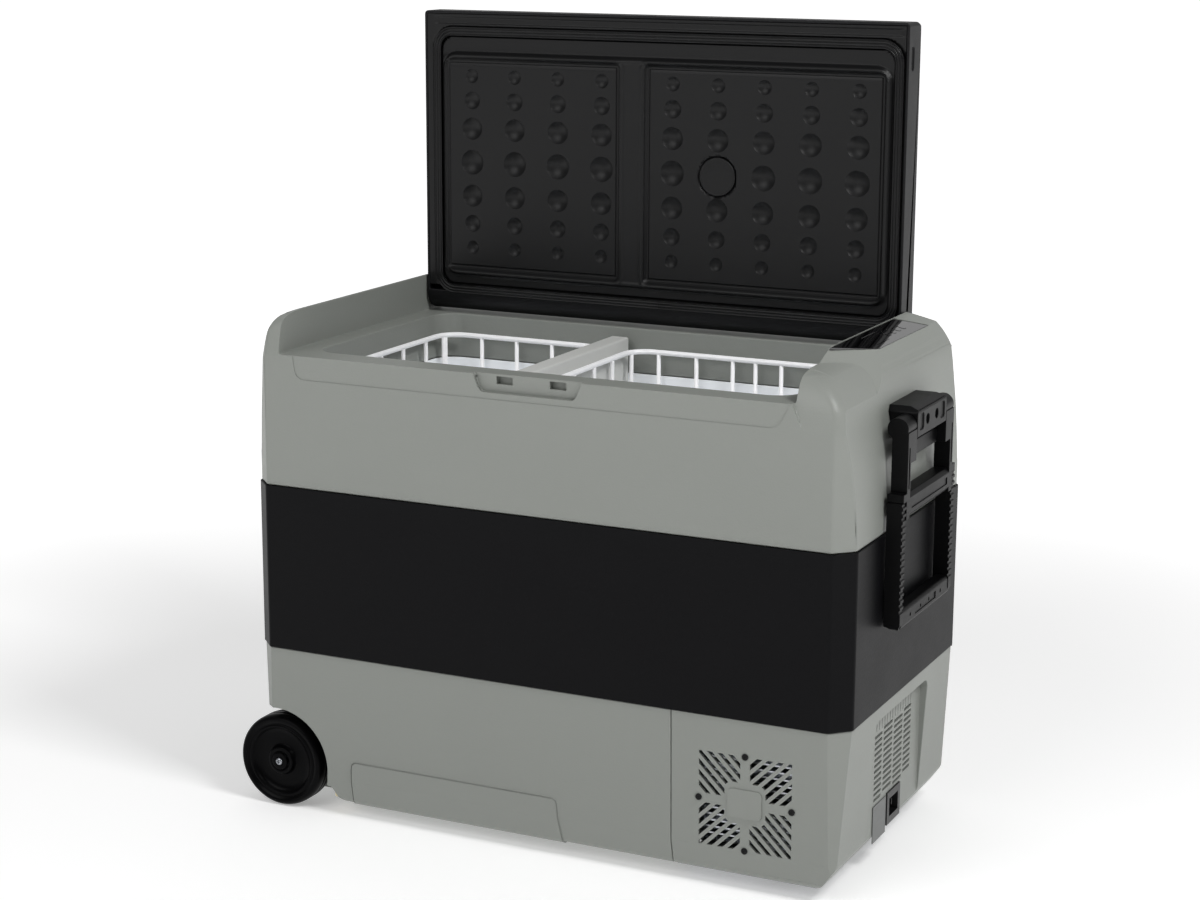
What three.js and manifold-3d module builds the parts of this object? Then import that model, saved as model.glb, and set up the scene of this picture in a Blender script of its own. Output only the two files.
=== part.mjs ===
// Compressor cooler fridge on two wheels, modelled lid open. Millimetres, +Z up.
// X runs along the long side from the wheels to the tow handle, -Y is the front,
// and the origin is under the middle of the whole cooler, at floor level.
import * as THREE from 'three';
import Module from 'manifold-3d';
import { mergeVertices } from 'three/addons/utils/BufferGeometryUtils.js';

const wasm = await Module();
wasm.setup();

// ---------------------------------------------------------------- driving sizes
const GAP = 0.3;
const WALL = 3;
const CABINET = { length: 620, depth: 324, bottom: 13.5, bandLow: 167, bandHigh: 331, rim: 461, top: 500 };
const CORNER_CUT = 18;
const SHELL_INSET = 1.5;
const TUB = { left: -254, right: 240, front: -130, rear: 126, floor: 50, corner: 25 };
const TUB_LEDGE = { x: -223, z: 112 };
const TUB_STEP = { x: 133, z: 190 };
const COLLAR_BOTTOM = 415;
const LINER_WALL = 2.5;
const LID_SPACE = { left: -275, right: 253 };
const BAY = { seam: 140, wallX: 299, ceiling: 167 };
const GRILLE = { x: 213.3, z: 86.8, size: 91, slots: 6, pitch: 7.4, slot: 3.6, boss: 30 };
const VENTS = { low: 66, pitch: 5.6, rows: 12, slot: 3, half: 52 };
const WHEEL = { radius: 46.8, width: 30, x: -287.5, face: 156.5, arch: 56 };
const AXLE_RADIUS = 5;
const HINGE = { y: 143, z: 481, radius: 17.5, pin: 3 };
const LID = { left: -273, right: 251.8, under: 126, free: 775 };
const GASKET = { left: -262, right: 248, low: 483, high: 759, width: 9, face: 123.4, corner: 22 };
const PLUG = { left: -251.5, right: 237.5, low: 501, high: 735, face: 121.5 };
const HANDLE = { inside: 311.3, outside: 327, pivotX: 316.5, pivotZ: 427, armHalf: 66, gripHalf: 75.5 };
const GRIP = { low: 242, top: 361, leg: 9.1, bar: 18, teeth: 17, tooth: 1.2 };
const PANEL = { innerX: 254.8, innerZ: 498.1, outerX: 280.5, outerZ: 489.6, thick: 2.2, sunk: 0.6 };
const PANEL_ENDS = { inner: [-78, 96], outer: [-19.5, 124] };
const KEY = { radius: 4.5, first: 38, pitch: 14, count: 4, tall: 2.4, travel: 0.8 };
const BASKET = { wall: 3, top: 443, front: -118, rear: 119 };
const DIVIDER = { left: -54, right: -34.5, top: 453 };
const FOOT = { x: [226, 250], near: 90, far: 116 };

// ---------------------------------------------------------------- finishes
const finish = (color, roughness, metalness = 0) => ({ color, roughness, metalness });
const GREY_SHELL = finish(0x8f928c, 0.62);
const BLACK_SATIN = finish(0x17181a, 0.5);
const BLACK_GLOSS = finish(0x050506, 0.08);
const WHITE_LINER = finish(0xe4e8ee, 0.4);
const WHITE_COAT = finish(0xf2f3f5, 0.35);
const LIGHT_GREY = finish(0xc9cbc8, 0.5);
const RUBBER = finish(0x1c1c1e, 0.8);
const FOAM = finish(0xe8dfc0, 0.95);
const ALUMINIUM = finish(0xb9bcc0, 0.35, 1);
const STEEL = finish(0x9a9ea3, 0.4, 1);
const BOARD_GREEN = finish(0x2c5b3c, 0.6);

// ---------------------------------------------------------------- solids from geometry
function solid(geometry) {
  const bare = geometry.clone();
  bare.deleteAttribute('normal');
  bare.deleteAttribute('uv');
  const merged = mergeVertices(bare, 1e-4);
  const vertProperties = new Float32Array(merged.attributes.position.array);
  const triVerts = new Uint32Array(merged.index.array);
  return new wasm.Manifold(new wasm.Mesh({ numProp: 3, vertProperties, triVerts }));
}

function join(parts) {
  return parts.reduce((whole, part) => whole.add(part));
}

function cut(body, tools) {
  return tools.reduce((whole, tool) => whole.subtract(tool), body);
}

function box(x, y, z) {
  const geometry = new THREE.BoxGeometry(x[1] - x[0], y[1] - y[0], z[1] - z[0]);
  geometry.translate((x[0] + x[1]) / 2, (y[0] + y[1]) / 2, (z[0] + z[1]) / 2);
  return solid(geometry);
}

// Each axis has the two directions of its outline, then the direction it is pushed along.
const BASES = {
  x: [new THREE.Vector3(0, 1, 0), new THREE.Vector3(0, 0, 1), new THREE.Vector3(1, 0, 0)],
  y: [new THREE.Vector3(1, 0, 0), new THREE.Vector3(0, 0, 1), new THREE.Vector3(0, -1, 0)],
  z: [new THREE.Vector3(1, 0, 0), new THREE.Vector3(0, 1, 0), new THREE.Vector3(0, 0, 1)],
};

function push(shape, axis, from, to, curveSegments = 6) {
  const geometry = new THREE.ExtrudeGeometry(shape, { depth: to - from, bevelEnabled: false, curveSegments });
  const start = axis === 'y' ? -to : from;
  geometry.translate(0, 0, start);
  geometry.applyMatrix4(new THREE.Matrix4().makeBasis(...BASES[axis]));
  return solid(geometry);
}

function outline(points) {
  return new THREE.Shape(points.map(([u, v]) => new THREE.Vector2(u, v)));
}

function mirrored(points) {
  const other = points.map(([u, v]) => [-u, v]).reverse();
  return [...points, ...other];
}

function roundedRect(u, v, radius) {
  const shape = new THREE.Shape();
  shape.moveTo(u[0] + radius, v[0]);
  shape.lineTo(u[1] - radius, v[0]);
  shape.absarc(u[1] - radius, v[0] + radius, radius, -Math.PI / 2, 0);
  shape.lineTo(u[1], v[1] - radius);
  shape.absarc(u[1] - radius, v[1] - radius, radius, 0, Math.PI / 2);
  shape.lineTo(u[0] + radius, v[1]);
  shape.absarc(u[0] + radius, v[1] - radius, radius, Math.PI / 2, Math.PI);
  shape.lineTo(u[0], v[0] + radius);
  shape.absarc(u[0] + radius, v[0] + radius, radius, Math.PI, 1.5 * Math.PI);
  return shape;
}

function rod(axis, radius, from, to, centre, sides = 20) {
  const geometry = new THREE.CylinderGeometry(radius, radius, to - from, sides);
  const middle = (from + to) / 2;
  if (axis === 'x') {
    geometry.rotateZ(Math.PI / 2);
    geometry.translate(middle, centre[0], centre[1]);
  } else if (axis === 'y') {
    geometry.translate(centre[0], middle, centre[1]);
  } else {
    geometry.rotateX(Math.PI / 2);
    geometry.translate(centre[0], centre[1], middle);
  }
  return solid(geometry);
}

function turned(profile, sides) {
  const points = profile.map(([r, h]) => new THREE.Vector2(r, h));
  return solid(new THREE.LatheGeometry(points, sides));
}

const root = new THREE.Group();

function piece(name, body, look) {
  const { vertProperties, triVerts } = body.getMesh();
  const geometry = new THREE.BufferGeometry();
  geometry.setAttribute('position', new THREE.BufferAttribute(new Float32Array(vertProperties), 3));
  geometry.setIndex(new THREE.BufferAttribute(new Uint32Array(triVerts), 1));
  geometry.computeVertexNormals();
  const mesh = new THREE.Mesh(geometry, new THREE.MeshStandardMaterial(look));
  mesh.name = name;
  root.add(mesh);
}

// ---------------------------------------------------------------- cabinet outlines
// The plan is a rectangle with its upright corners cut off at 45 degrees.
function plan(inset) {
  const x = CABINET.length / 2 - inset;
  const y = CABINET.depth / 2 - inset;
  const c = CORNER_CUT - inset * 0.6;
  return outline([[-x, -y + c], [-x + c, -y], [x - c, -y], [x, -y + c],
    [x, y - c], [x - c, y], [-x + c, y], [-x, y - c]]);
}

// End wall reach at a height: upright at the band, leaning in above it. The wall at the handle
// end stops under the control panel, and the one at the wheel end rises into the thin wing.
const LOW_END_WALL = [[308.5, 331], [307.6, 361], [304.1, 401], [299.7, 431]];
const END_WALL = [...LOW_END_WALL, [294.3, 461], [288, 476], [280.5, 489.5]];
const WING_WALL = [...LOW_END_WALL, [295.2, 461], [291.5, 478], [286, 491], [279, 498.6]];
const TOWER_TOP = 498.8;

function wallReach(wall, z) {
  const i = Math.min(Math.max(wall.findIndex(([, h]) => h > z), 1), wall.length - 1);
  const [x0, z0] = wall[i - 1];
  const [x1, z1] = wall[i];
  return x0 + (x1 - x0) * (z - z0) / (z1 - z0);
}

function endWall(z) {
  return wallReach(END_WALL, z);
}

function upperFront(inset, top) {
  const foot = [CABINET.length / 2 - SHELL_INSET - inset, CABINET.bandHigh - 10];
  const side = (wall) => [foot, ...wall.filter(([, z]) => z < top).map(([x, z]) => [x - inset, z])];
  const over = (wall) => (top > CABINET.rim ? [] : [[wallReach(wall, top) - inset, top]]);
  const right = [...side(END_WALL), ...over(END_WALL)];
  const left = [...side(WING_WALL), ...over(WING_WALL)].map(([x, z]) => [-x, z]).reverse();
  const crown = top > CABINET.rim ? [[LID_SPACE.right, TOWER_TOP], [LID_SPACE.left, CABINET.top]] : [];
  return outline([...right, ...crown, ...left]);
}

// ---------------------------------------------------------------- upper shell
function upperShell() {
  const low = CABINET.bandHigh + GAP;
  const whole = push(plan(SHELL_INSET), 'z', low, CABINET.top);
  // The wing at the wheel end and the tower at the handle end round off front and rear.
  const side = new THREE.Shape();
  side.moveTo(-160.5, low);
  side.lineTo(160.5, low);
  side.lineTo(160, CABINET.rim);
  side.quadraticCurveTo(160, 490, 136, CABINET.top);
  side.lineTo(-118, CABINET.top);
  side.quadraticCurveTo(-157, 497, -158, CABINET.rim);
  side.lineTo(-160.5, CABINET.rim - 1);
  const outer = whole
    .intersect(push(upperFront(0, CABINET.top), 'y', -170, 170))
    .intersect(push(side, 'x', -320, 320));
  const lidSpace = box([LID_SPACE.left, LID_SPACE.right], [-170, 170], [CABINET.rim, 520]);
  const openingPlan = roundedRect([TUB.left, TUB.right], [TUB.front, TUB.rear], TUB.corner);
  const opening = push(openingPlan, 'z', 300, 520, 8);
  const collarPlan = roundedRect(
    [TUB.left - WALL, TUB.right + WALL], [TUB.front - WALL, TUB.rear + WALL], TUB.corner + WALL);
  const collar = push(collarPlan, 'z', COLLAR_BOTTOM, CABINET.rim - WALL, 8);
  const latchBlock = box([-72, 56], [-156, -146], [438, CABINET.rim - WALL]);
  const hollow = cut(
    push(plan(SHELL_INSET + WALL), 'z', 300, CABINET.rim - WALL)
      .intersect(push(upperFront(WALL, CABINET.rim), 'y', -170, 170)),
    [collar, latchBlock]);
  const pocket = box([-66, 50], [-170, -154], [444, 480]);
  const sockets = [[-42, -25], [13, 30]].map((x) => box(x, [-160, -147.5], [451.6, 459]));
  const pins = [hingePin(-280, LID_SPACE.left + 1, GAP), hingePin(LID_SPACE.right - 1, 260, GAP)];
  return cut(outer, [lidSpace, opening, hollow, pocket, ...sockets, ...pins, towerShoulder(), panelPocket()]);
}

const FACET = {
  normal: new THREE.Vector3(0.7, -0.26, 0.667).normalize(),
  point: new THREE.Vector3(268, -44, 493),
};

// What is cleared away in front of the tower, so that a low rounded shoulder leads up to the panel.
function towerShoulder() {
  const profile = new THREE.Shape();
  profile.moveTo(-200, 440);
  profile.lineTo(-159.5, 440);
  profile.quadraticCurveTo(-156, 488, -118, 490.5);
  profile.lineTo(-84, 492);
  profile.lineTo(-60, 520);
  profile.lineTo(-200, 520);
  const front = push(profile, 'x', LID_SPACE.right - 1, 330, 8);
  const over = outline([
    [LID_SPACE.right - 2, 489], [266, 486], [278, 477], [289, 464], [296, 450], [330, 450],
    [330, 530], [LID_SPACE.right - 2, 530]]);
  // The facet that leads down from the panel's front end.
  const facet = new THREE.BoxGeometry(120, 120, 60);
  facet.translate(0, 0, 30);
  const lean = new THREE.Quaternion().setFromUnitVectors(new THREE.Vector3(0, 0, 1), FACET.normal);
  facet.applyQuaternion(lean);
  facet.translate(FACET.point.x, FACET.point.y, FACET.point.z);
  const side = push(over, 'y', -200, 40).intersect(solid(facet));
  return front.intersect(solid(facet)).add(side);
}

function hingePin(from, to, extra) {
  return rod('x', HINGE.pin + extra, from - extra, to + extra, [HINGE.y, HINGE.z], 16);
}

// ---------------------------------------------------------------- control panel on the tower
const panelAngle = Math.atan2(PANEL.innerZ - PANEL.outerZ, PANEL.outerX - PANEL.innerX);
const panelNormal = new THREE.Vector3(Math.sin(panelAngle), 0, Math.cos(panelAngle));

function panelSlab(raise, thick, grow) {
  const along = new THREE.Vector3(Math.cos(panelAngle), 0, -Math.sin(panelAngle));
  const inner = new THREE.Vector3(PANEL.innerX, 0, PANEL.innerZ).addScaledVector(panelNormal, raise);
  const outer = new THREE.Vector3(PANEL.outerX, 0, PANEL.outerZ).addScaledVector(panelNormal, raise);
  inner.addScaledVector(along, -grow);
  outer.addScaledVector(along, grow);
  const corners = [inner, outer, outer.clone().addScaledVector(panelNormal, -thick),
    inner.clone().addScaledVector(panelNormal, -thick)];
  const slab = push(outline(corners.reverse().map((p) => [p.x, p.z])), 'y', -100, 120);
  // The two ends slant, and are carried on a little past the slab's long edges.
  const beyond = 0.25;
  const width = PANEL.outerX - PANEL.innerX;
  const slant = (end, share) => [
    PANEL.innerX + share * width,
    PANEL_ENDS.inner[end] + (PANEL_ENDS.outer[end] - PANEL_ENDS.inner[end]) * share + (end ? grow : -grow)];
  const sides = outline([slant(0, -beyond), slant(0, 1 + beyond), slant(1, 1 + beyond), slant(1, -beyond)]);
  return slab.intersect(push(sides, 'z', 470, 520));
}

function onPanel(y, depth) {
  const middle = new THREE.Vector3((PANEL.innerX + PANEL.outerX) / 2, y, (PANEL.innerZ + PANEL.outerZ) / 2);
  return middle.addScaledVector(panelNormal, depth);
}

function keyRod(y, radius, top, bottom) {
  const geometry = new THREE.CylinderGeometry(radius, radius, top - bottom, 16);
  geometry.rotateX(Math.PI / 2);
  geometry.rotateY(panelAngle);
  const centre = onPanel(y, (top + bottom) / 2);
  geometry.translate(centre.x, centre.y, centre.z);
  return solid(geometry);
}

const keyPlaces = Array.from({ length: KEY.count }, (_, i) => KEY.first + i * KEY.pitch);
const panelTop = -PANEL.sunk;
const panelFloor = panelTop - PANEL.thick;

function panelPocket() {
  const wells = keyPlaces.map((y) => keyRod(y, KEY.radius + 0.4, 0, panelFloor - KEY.travel - 1.2));
  return join([panelSlab(4, 4 - panelFloor + GAP, GAP), ...wells]);
}

function displayBlock(grow) {
  const block = new THREE.BoxGeometry(15 + 2 * grow, 36 + 2 * grow, 1.4 + 2 * grow);
  block.rotateY(panelAngle);
  const centre = onPanel(8, panelTop - 0.6 + grow);
  block.translate(centre.x, centre.y, centre.z);
  return solid(block);
}

function controlPanel() {
  const holes = keyPlaces.map((y) => keyRod(y, KEY.radius + GAP, 2, -8));
  return cut(panelSlab(panelTop, PANEL.thick, 0), [displayBlock(GAP), ...holes]);
}

// ---------------------------------------------------------------- lower shells
function lowerFront(inset) {
  const right = [
    [309 - inset, BAY.ceiling + 10], [308.5 - inset, 167], [305.5 - inset, 118], [300.5 - inset, 37],
    [295 - inset, 20], [284 - inset, CABINET.bottom + inset]];
  const left = [[-284 + inset, CABINET.bottom + inset], [-300 + inset, 40], [-303.5 + inset, 100],
    [-306.8 + inset, 115], [-308.5 + inset, 167], [-309 + inset, BAY.ceiling + 10]];
  return outline([...right, ...left].reverse());
}

// Front and rear walls of the lower shell lean in slightly towards the floor.
const LOWER_WALL = [[160.5, 167], [157.5, 40]];

function lowerWall(z) {
  const [[y0, z0], [y1, z1]] = LOWER_WALL;
  return y0 + (y1 - y0) * (z - z0) / (z1 - z0);
}

function lowerSide(inset) {
  const half = [[160.5 - inset, BAY.ceiling + 10], ...LOWER_WALL.map(([y, z]) => [y - inset, z]),
    [151 - inset, CABINET.bottom + inset]];
  return outline(mirrored(half).reverse());
}

function lowerBlock(inset) {
  const top = CABINET.bandLow - GAP + (inset ? 10 : 0);
  return push(plan(SHELL_INSET + inset), 'z', 0, top)
    .intersect(push(lowerFront(inset), 'y', -170, 170))
    .intersect(push(lowerSide(inset), 'x', -320, 320));
}

function wheelArch(extra) {
  const inner = WHEEL.face - WHEEL.width - 4 - extra;
  const arch = (from, to) => join([
    rod('y', WHEEL.arch + extra, from, to, [WHEEL.x, WHEEL.radius], 32),
    box([WHEEL.x - WHEEL.arch - extra, WHEEL.x + WHEEL.arch + extra], [from, to], [-10, 30]),
    box([-330, WHEEL.x], [from, to], [-10, WHEEL.radius + WHEEL.arch * 0.62])]);
  return join([arch(-175, -inner), arch(inner, 175)]);
}

function lowerShell() {
  const keep = box([-330, BAY.seam - GAP / 2], [-170, 170], [0, 200]);
  const outer = cut(lowerBlock(0).intersect(keep), [wheelArch(0)]);
  const hollow = cut(lowerBlock(WALL), [wheelArch(WALL), box([BAY.seam - WALL, 330], [-170, 170], [0, 200])]);
  return cut(outer, [hollow, rod('y', AXLE_RADIUS + GAP, -170, 170, [WHEEL.x, WHEEL.radius], 20)]);
}

// Four fields of slots run diagonally towards a square boss in the middle.
function grilleSlots() {
  const half = GRILLE.size / 2;
  const slots = [];
  for (const turn of [0, 1, 2, 3]) {
    for (let i = 0; i < 2 * GRILLE.slots - 1; i += 1) {
      const offset = (i - GRILLE.slots + 1) * GRILLE.pitch;
      const far = half * Math.SQRT2 - Math.abs(offset) - 5;
      const near = Math.max(GRILLE.boss * Math.SQRT1_2 - Math.abs(offset) + 4, Math.abs(offset) + 4.5);
      if (far - near < 6) continue;
      const slot = new THREE.BoxGeometry(far - near, 12, GRILLE.slot);
      slot.translate((far + near) / 2, 0, offset);
      slot.rotateY(-Math.PI / 4 - turn * Math.PI / 2);
      slot.translate(GRILLE.x, -CABINET.depth / 2, GRILLE.z);
      slots.push(solid(slot));
    }
  }
  return slots;
}

const grilleScrews = [[0, 1], [0, -1], [1, 0], [-1, 0]].map(([u, v]) => [
  GRILLE.x + u * GRILLE.size / 2, GRILLE.z + v * GRILLE.size / 2]);

function ventSlots() {
  const slots = [];
  const columns = [[-VENTS.half, -31], [-27, -2], [2, 27], [31, VENTS.half]];
  for (let row = 0; row < VENTS.rows; row += 1) {
    columns.forEach(([from, to], column) => {
      const z = VENTS.low + (row + (column % 2) * 0.5) * VENTS.pitch;
      slots.push(box([280, 320], [from, to], [z, z + VENTS.slot]));
    });
  }
  return slots;
}

const SOCKET = { y: [-15, 22], z: [31, 63] };

const REAR_VENT = { count: 9, first: 170, pitch: 11, width: 5, z: [50, 120] };

function bayCover() {
  const keep = box([BAY.seam + GAP / 2, 330], [-170, 170], [0, 200]);
  const recess = box([BAY.wallX, 330], [-76, 76], [0, 152]);
  const hollow = cut(lowerBlock(WALL), [box([BAY.wallX - WALL, 330], [-76 - WALL, 76 + WALL], [0, 200])])
    .add(box([0, 284 - WALL], [-148, 148], [0, 40]));
  const holes = grilleScrews.map(([x, z]) => rod('y', 2, -170, -150, [x, z], 10));
  const { count, first, pitch, width, z } = REAR_VENT;
  const rearSlots = Array.from({ length: count }, (_, i) => (
    box([first + i * pitch, first + i * pitch + width], [150, 170], z)));
  const around = ([low, high]) => [low - GAP, high + GAP];
  const socketHole = box([280, 320], around(SOCKET.y), around(SOCKET.z));
  return cut(lowerBlock(0).intersect(keep),
    [recess, hollow, ...grilleSlots(), ...ventSlots(), ...holes, ...rearSlots, socketHole]);
}

function dcSocket() {
  const body = box([BAY.wallX - 12, BAY.wallX + 1.5], SOCKET.y, SOCKET.z);
  const mouth = box([BAY.wallX - 9, BAY.wallX + 3], [-9, 16], [38, 56]);
  const pins = [-1, 8].map((y) => box([BAY.wallX - 9.5, BAY.wallX - 2], [y - 1, y + 1], [44, 50]));
  return join([body.subtract(mouth), ...pins]);
}

// ---------------------------------------------------------------- tub, foam and evaporator
// The tub floor steps up over the wheel wells and again over the compressor bay.
function tubBlock(inset, top) {
  const y = [TUB.front + inset, TUB.rear - inset];
  const radius = TUB.corner - Math.max(inset, 0) * 0.5;
  const levels = [[TUB_LEDGE.x, TUB_STEP.x, TUB.floor], [TUB.left, TUB_STEP.x, TUB_LEDGE.z],
    [TUB.left, TUB.right, TUB_STEP.z]];
  return join(levels.map(([left, right, low]) => (
    push(roundedRect([left + inset, right - inset], y, radius), 'z', low + inset, top, 6))));
}

function tubLiner() {
  const top = COLLAR_BOTTOM - GAP;
  return tubBlock(-0.5, top).subtract(tubBlock(LINER_WALL - 0.5, top + 10));
}

function evaporator() {
  const ring = tubBlock(-2.2, 400).subtract(tubBlock(-1, 420));
  return ring.intersect(box([-300, 300], [-170, 170], [250, 395]));
}

function foam() {
  const high = push(plan(9), 'z', 171, 400).intersect(push(outline([[-299.5, 100], [299.5, 100], [299.5, 420],
    [-299.5, 420]]), 'y', -170, 170));
  const low = lowerBlock(WALL + GAP).intersect(box([-330, BAY.seam - WALL - 0.5], [-154, 154], [0, 172]));
  const axleTunnel = rod('y', AXLE_RADIUS + 1, -170, 170, [WHEEL.x, WHEEL.radius], 20);
  return cut(high.add(low), [tubBlock(-2.6, 450), wheelArch(WALL + GAP), axleTunnel]);
}

// ---------------------------------------------------------------- compressor bay
function compressor() {
  const can = turned([[0, 22], [34, 22], [47, 32], [50, 44], [50, 104], [46, 120], [32, 130], [0, 133]], 32);
  const upright = new THREE.Matrix4().makeRotationX(Math.PI / 2).elements;
  const body = can.transform(upright).translate([232, 62, 0]);
  const foot = box([178, 286], [30, 94], [20, 24]);
  const stub = rod('z', 6, 120, 146, [214, 40], 12);
  return join([body, foot, stub]);
}

const FINS = { count: 15, first: 42, pitch: 6.2, thick: 1.6 };

function condenser() {
  const { count, first, pitch, thick } = FINS;
  const fins = Array.from({ length: count }, (_, i) => (
    box([168, 259], [-146, -124], [first + i * pitch, first + i * pitch + thick])));
  const ends = [box([166, 169], [-147, -123], [40, 133]), box([258, 261], [-147, -123], [40, 133])];
  const tubes = [48, 64, 80, 96, 112, 126].map((z) => rod('x', 4, 166, 261, [-135, z], 10));
  return join([...fins, ...ends, ...tubes]);
}

const FAN = { x: 213.3, z: 86.8, front: -118, rear: -94 };

function fanHousing() {
  const square = roundedRect([FAN.x - 46, FAN.x + 46], [FAN.z - 46, FAN.z + 46], 5);
  const frame = push(square, 'y', FAN.front, FAN.rear, 4);
  const bore = rod('y', 43, FAN.front - 5, FAN.rear + 5, [FAN.x, FAN.z], 32);
  const motor = rod('y', 17, FAN.rear - 6, FAN.rear, [FAN.x, FAN.z], 24);
  const struts = [0, 1].map((turn) => {
    const strut = new THREE.BoxGeometry(90, 3, 5);
    strut.rotateY(Math.PI / 4 + turn * Math.PI / 2);
    strut.translate(FAN.x, FAN.rear - 2, FAN.z);
    return solid(strut);
  });
  const spindle = rod('y', 2, FAN.front + 4, FAN.rear - 3, [FAN.x, FAN.z], 12);
  return join([frame.subtract(bore), motor, ...struts, spindle]);
}

function fanRotor() {
  const hub = rod('y', 17, FAN.front + 1, FAN.rear - 7, [0, 0], 24);
  const blades = Array.from({ length: 7 }, (_, i) => {
    const blade = new THREE.BoxGeometry(26, 1.6, 20);
    blade.rotateX(0.6);
    blade.translate(28, (FAN.front + FAN.rear) / 2 - 3, 0);
    blade.rotateY(i * 2 * Math.PI / 7);
    return solid(blade);
  });
  const bore = rod('y', 2 + GAP, FAN.front + 3, FAN.rear, [0, 0], 12);
  return join([hub, ...blades]).subtract(bore).translate([FAN.x, 0, FAN.z]);
}

function controlBoard() {
  const board = box([148, 150], [10, 120], [50, 125]);
  const parts = [box([149.5, 172], [20, 50], [60, 84]), box([149.5, 162], [60, 80], [95, 118]),
    box([149.5, 158], [86, 116], [56, 72])];
  return join([board, ...parts]);
}

// ---------------------------------------------------------------- wheels
function wheel(side) {
  const r = WHEEL.radius;
  const w = WHEEL.width;
  const bore = AXLE_RADIUS + GAP;
  const profile = [[bore, 2], [13, 2], [14, 6], [34, 6], [37, 2], [r - 3, 0], [r, 4], [r, w - 4], [r - 3, w],
    [38, w - 1], [36, w - 5], [15, w - 6], [14, w - 2], [bore, w - 2], [bore, 2]];
  const body = turned(profile, 40);
  const placed = body.translate([0, WHEEL.face - w, 0]);
  const faced = side < 0 ? placed.rotate([0, 0, 180]) : placed;
  return faced.translate([WHEEL.x, 0, WHEEL.radius]);
}

function wheelScrew(side) {
  const near = WHEEL.face - 1.6;
  const range = [near, near + 4.4];
  const [from, to] = side < 0 ? [-range[1], -range[0]] : range;
  return rod('y', 9, from, to, [WHEEL.x, WHEEL.radius], 24);
}

// ---------------------------------------------------------------- lid
function lidProfile(inset) {
  const r = HINGE.radius - inset;
  const shape = new THREE.Shape();
  shape.moveTo(HINGE.y - r + (inset ? -inset - 5 : 0), HINGE.z);
  if (!inset) shape.absarc(HINGE.y, HINGE.z, r, Math.PI, 2 * Math.PI);
  else shape.lineTo(HINGE.y + r, HINGE.z);
  shape.lineTo(HINGE.y + r, LID.free - 10);
  shape.quadraticCurveTo(HINGE.y + r, LID.free - inset, HINGE.y + r - 9, LID.free - inset);
  shape.lineTo(HINGE.y - r + (inset ? -inset - 5 : 0), LID.free - inset);
  return shape;
}

function lidShell() {
  const face = roundedRect([LID.left, LID.right], [HINGE.z - HINGE.radius, LID.free], 4);
  const outer = push(lidProfile(0), 'x', LID.left, LID.right, 8).intersect(push(face, 'y', 100, 180, 4));
  const hollow = push(lidProfile(WALL), 'x', LID.left + WALL, LID.right - WALL, 6);
  const pinHoles = [hingePin(LID.left - 2, -262, GAP), hingePin(241, LID.right + 2, GAP)];
  const pinBosses = [rod('x', 8, LID.left + 1, -258, [HINGE.y, HINGE.z], 16),
    rod('x', 8, 237, LID.right - 1, [HINGE.y, HINGE.z], 16)];
  return cut(cut(outer, [hollow]).add(join(pinBosses)), pinHoles);
}

const LINER_EDGE = {
  x: [LID.left + WALL + GAP, LID.right - WALL - GAP],
  z: [490 + GAP, LID.free - WALL - GAP],
};

function lidLiner() {
  const plate = box(LINER_EDGE.x, [LID.under, LID.under + WALL], LINER_EDGE.z);
  const plugShape = roundedRect([PLUG.left, PLUG.right], [PLUG.low, PLUG.high], 20);
  const plug = push(plugShape, 'y', PLUG.face, LID.under + 1, 6);
  const panels = [[-246, -50], [-20, 232]].map((x) => (
    push(roundedRect(x, [509, 727], 8), 'y', 100, PLUG.face + 2.4, 4)));
  const disc = rod('y', 19.6, 100, 180, [57.8, 620], 32);
  const groove = gasketRing(LID.under + 1.4, GAP);
  return cut(join([plate, plug]), [...panels, disc, groove]);
}

function gasketRing(rear, grow) {
  const { left, right, low, high, width, corner, face } = GASKET;
  const ring = (inset, radius) => (
    roundedRect([left + inset, right - inset], [low + inset, high - inset], radius));
  const outside = push(ring(-grow, corner), 'y', face, rear, 6);
  const inside = push(ring(width + grow, corner - width), 'y', face - 5, rear + 5, 6);
  return outside.subtract(inside);
}

function lidFoam() {
  const y = [LID.under + WALL + GAP, HINGE.y + HINGE.radius - WALL - GAP];
  return box([LID.left + 12, LID.right - 12], y, [HINGE.z + 10, LID.free - 14]);
}

// ---------------------------------------------------------------- tow handle
function bracket() {
  const wall = [443, 431, 412].map((z) => [endWall(z) + 0.5, z]);
  const shape = outline([[HANDLE.outside, 415], [HANDLE.outside, 440], [318, 443], ...wall]);
  const body = push(shape, 'y', -42, 42);
  const screwPockets = [-13, 13].map((y) => rod('x', 4.6, 322, 330, [y, 428], 16));
  const screwHoles = [-13, 13].map((y) => rod('x', 2.3, 290, 330, [y, 428], 12));
  return cut(body, [...screwPockets, ...screwHoles, ...handlePinHoles(GAP)]);
}

function handlePinHoles(extra) {
  return [[-60, -34], [34, 60]].map(([from, to]) => (
    rod('y', 3.5 + extra, from - extra, to + extra, [HANDLE.pivotX, HANDLE.pivotZ], 16)));
}

const RAIL = { y: [68.8, 72.8], x: [315.6, 322.4], low: 256 };

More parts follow.
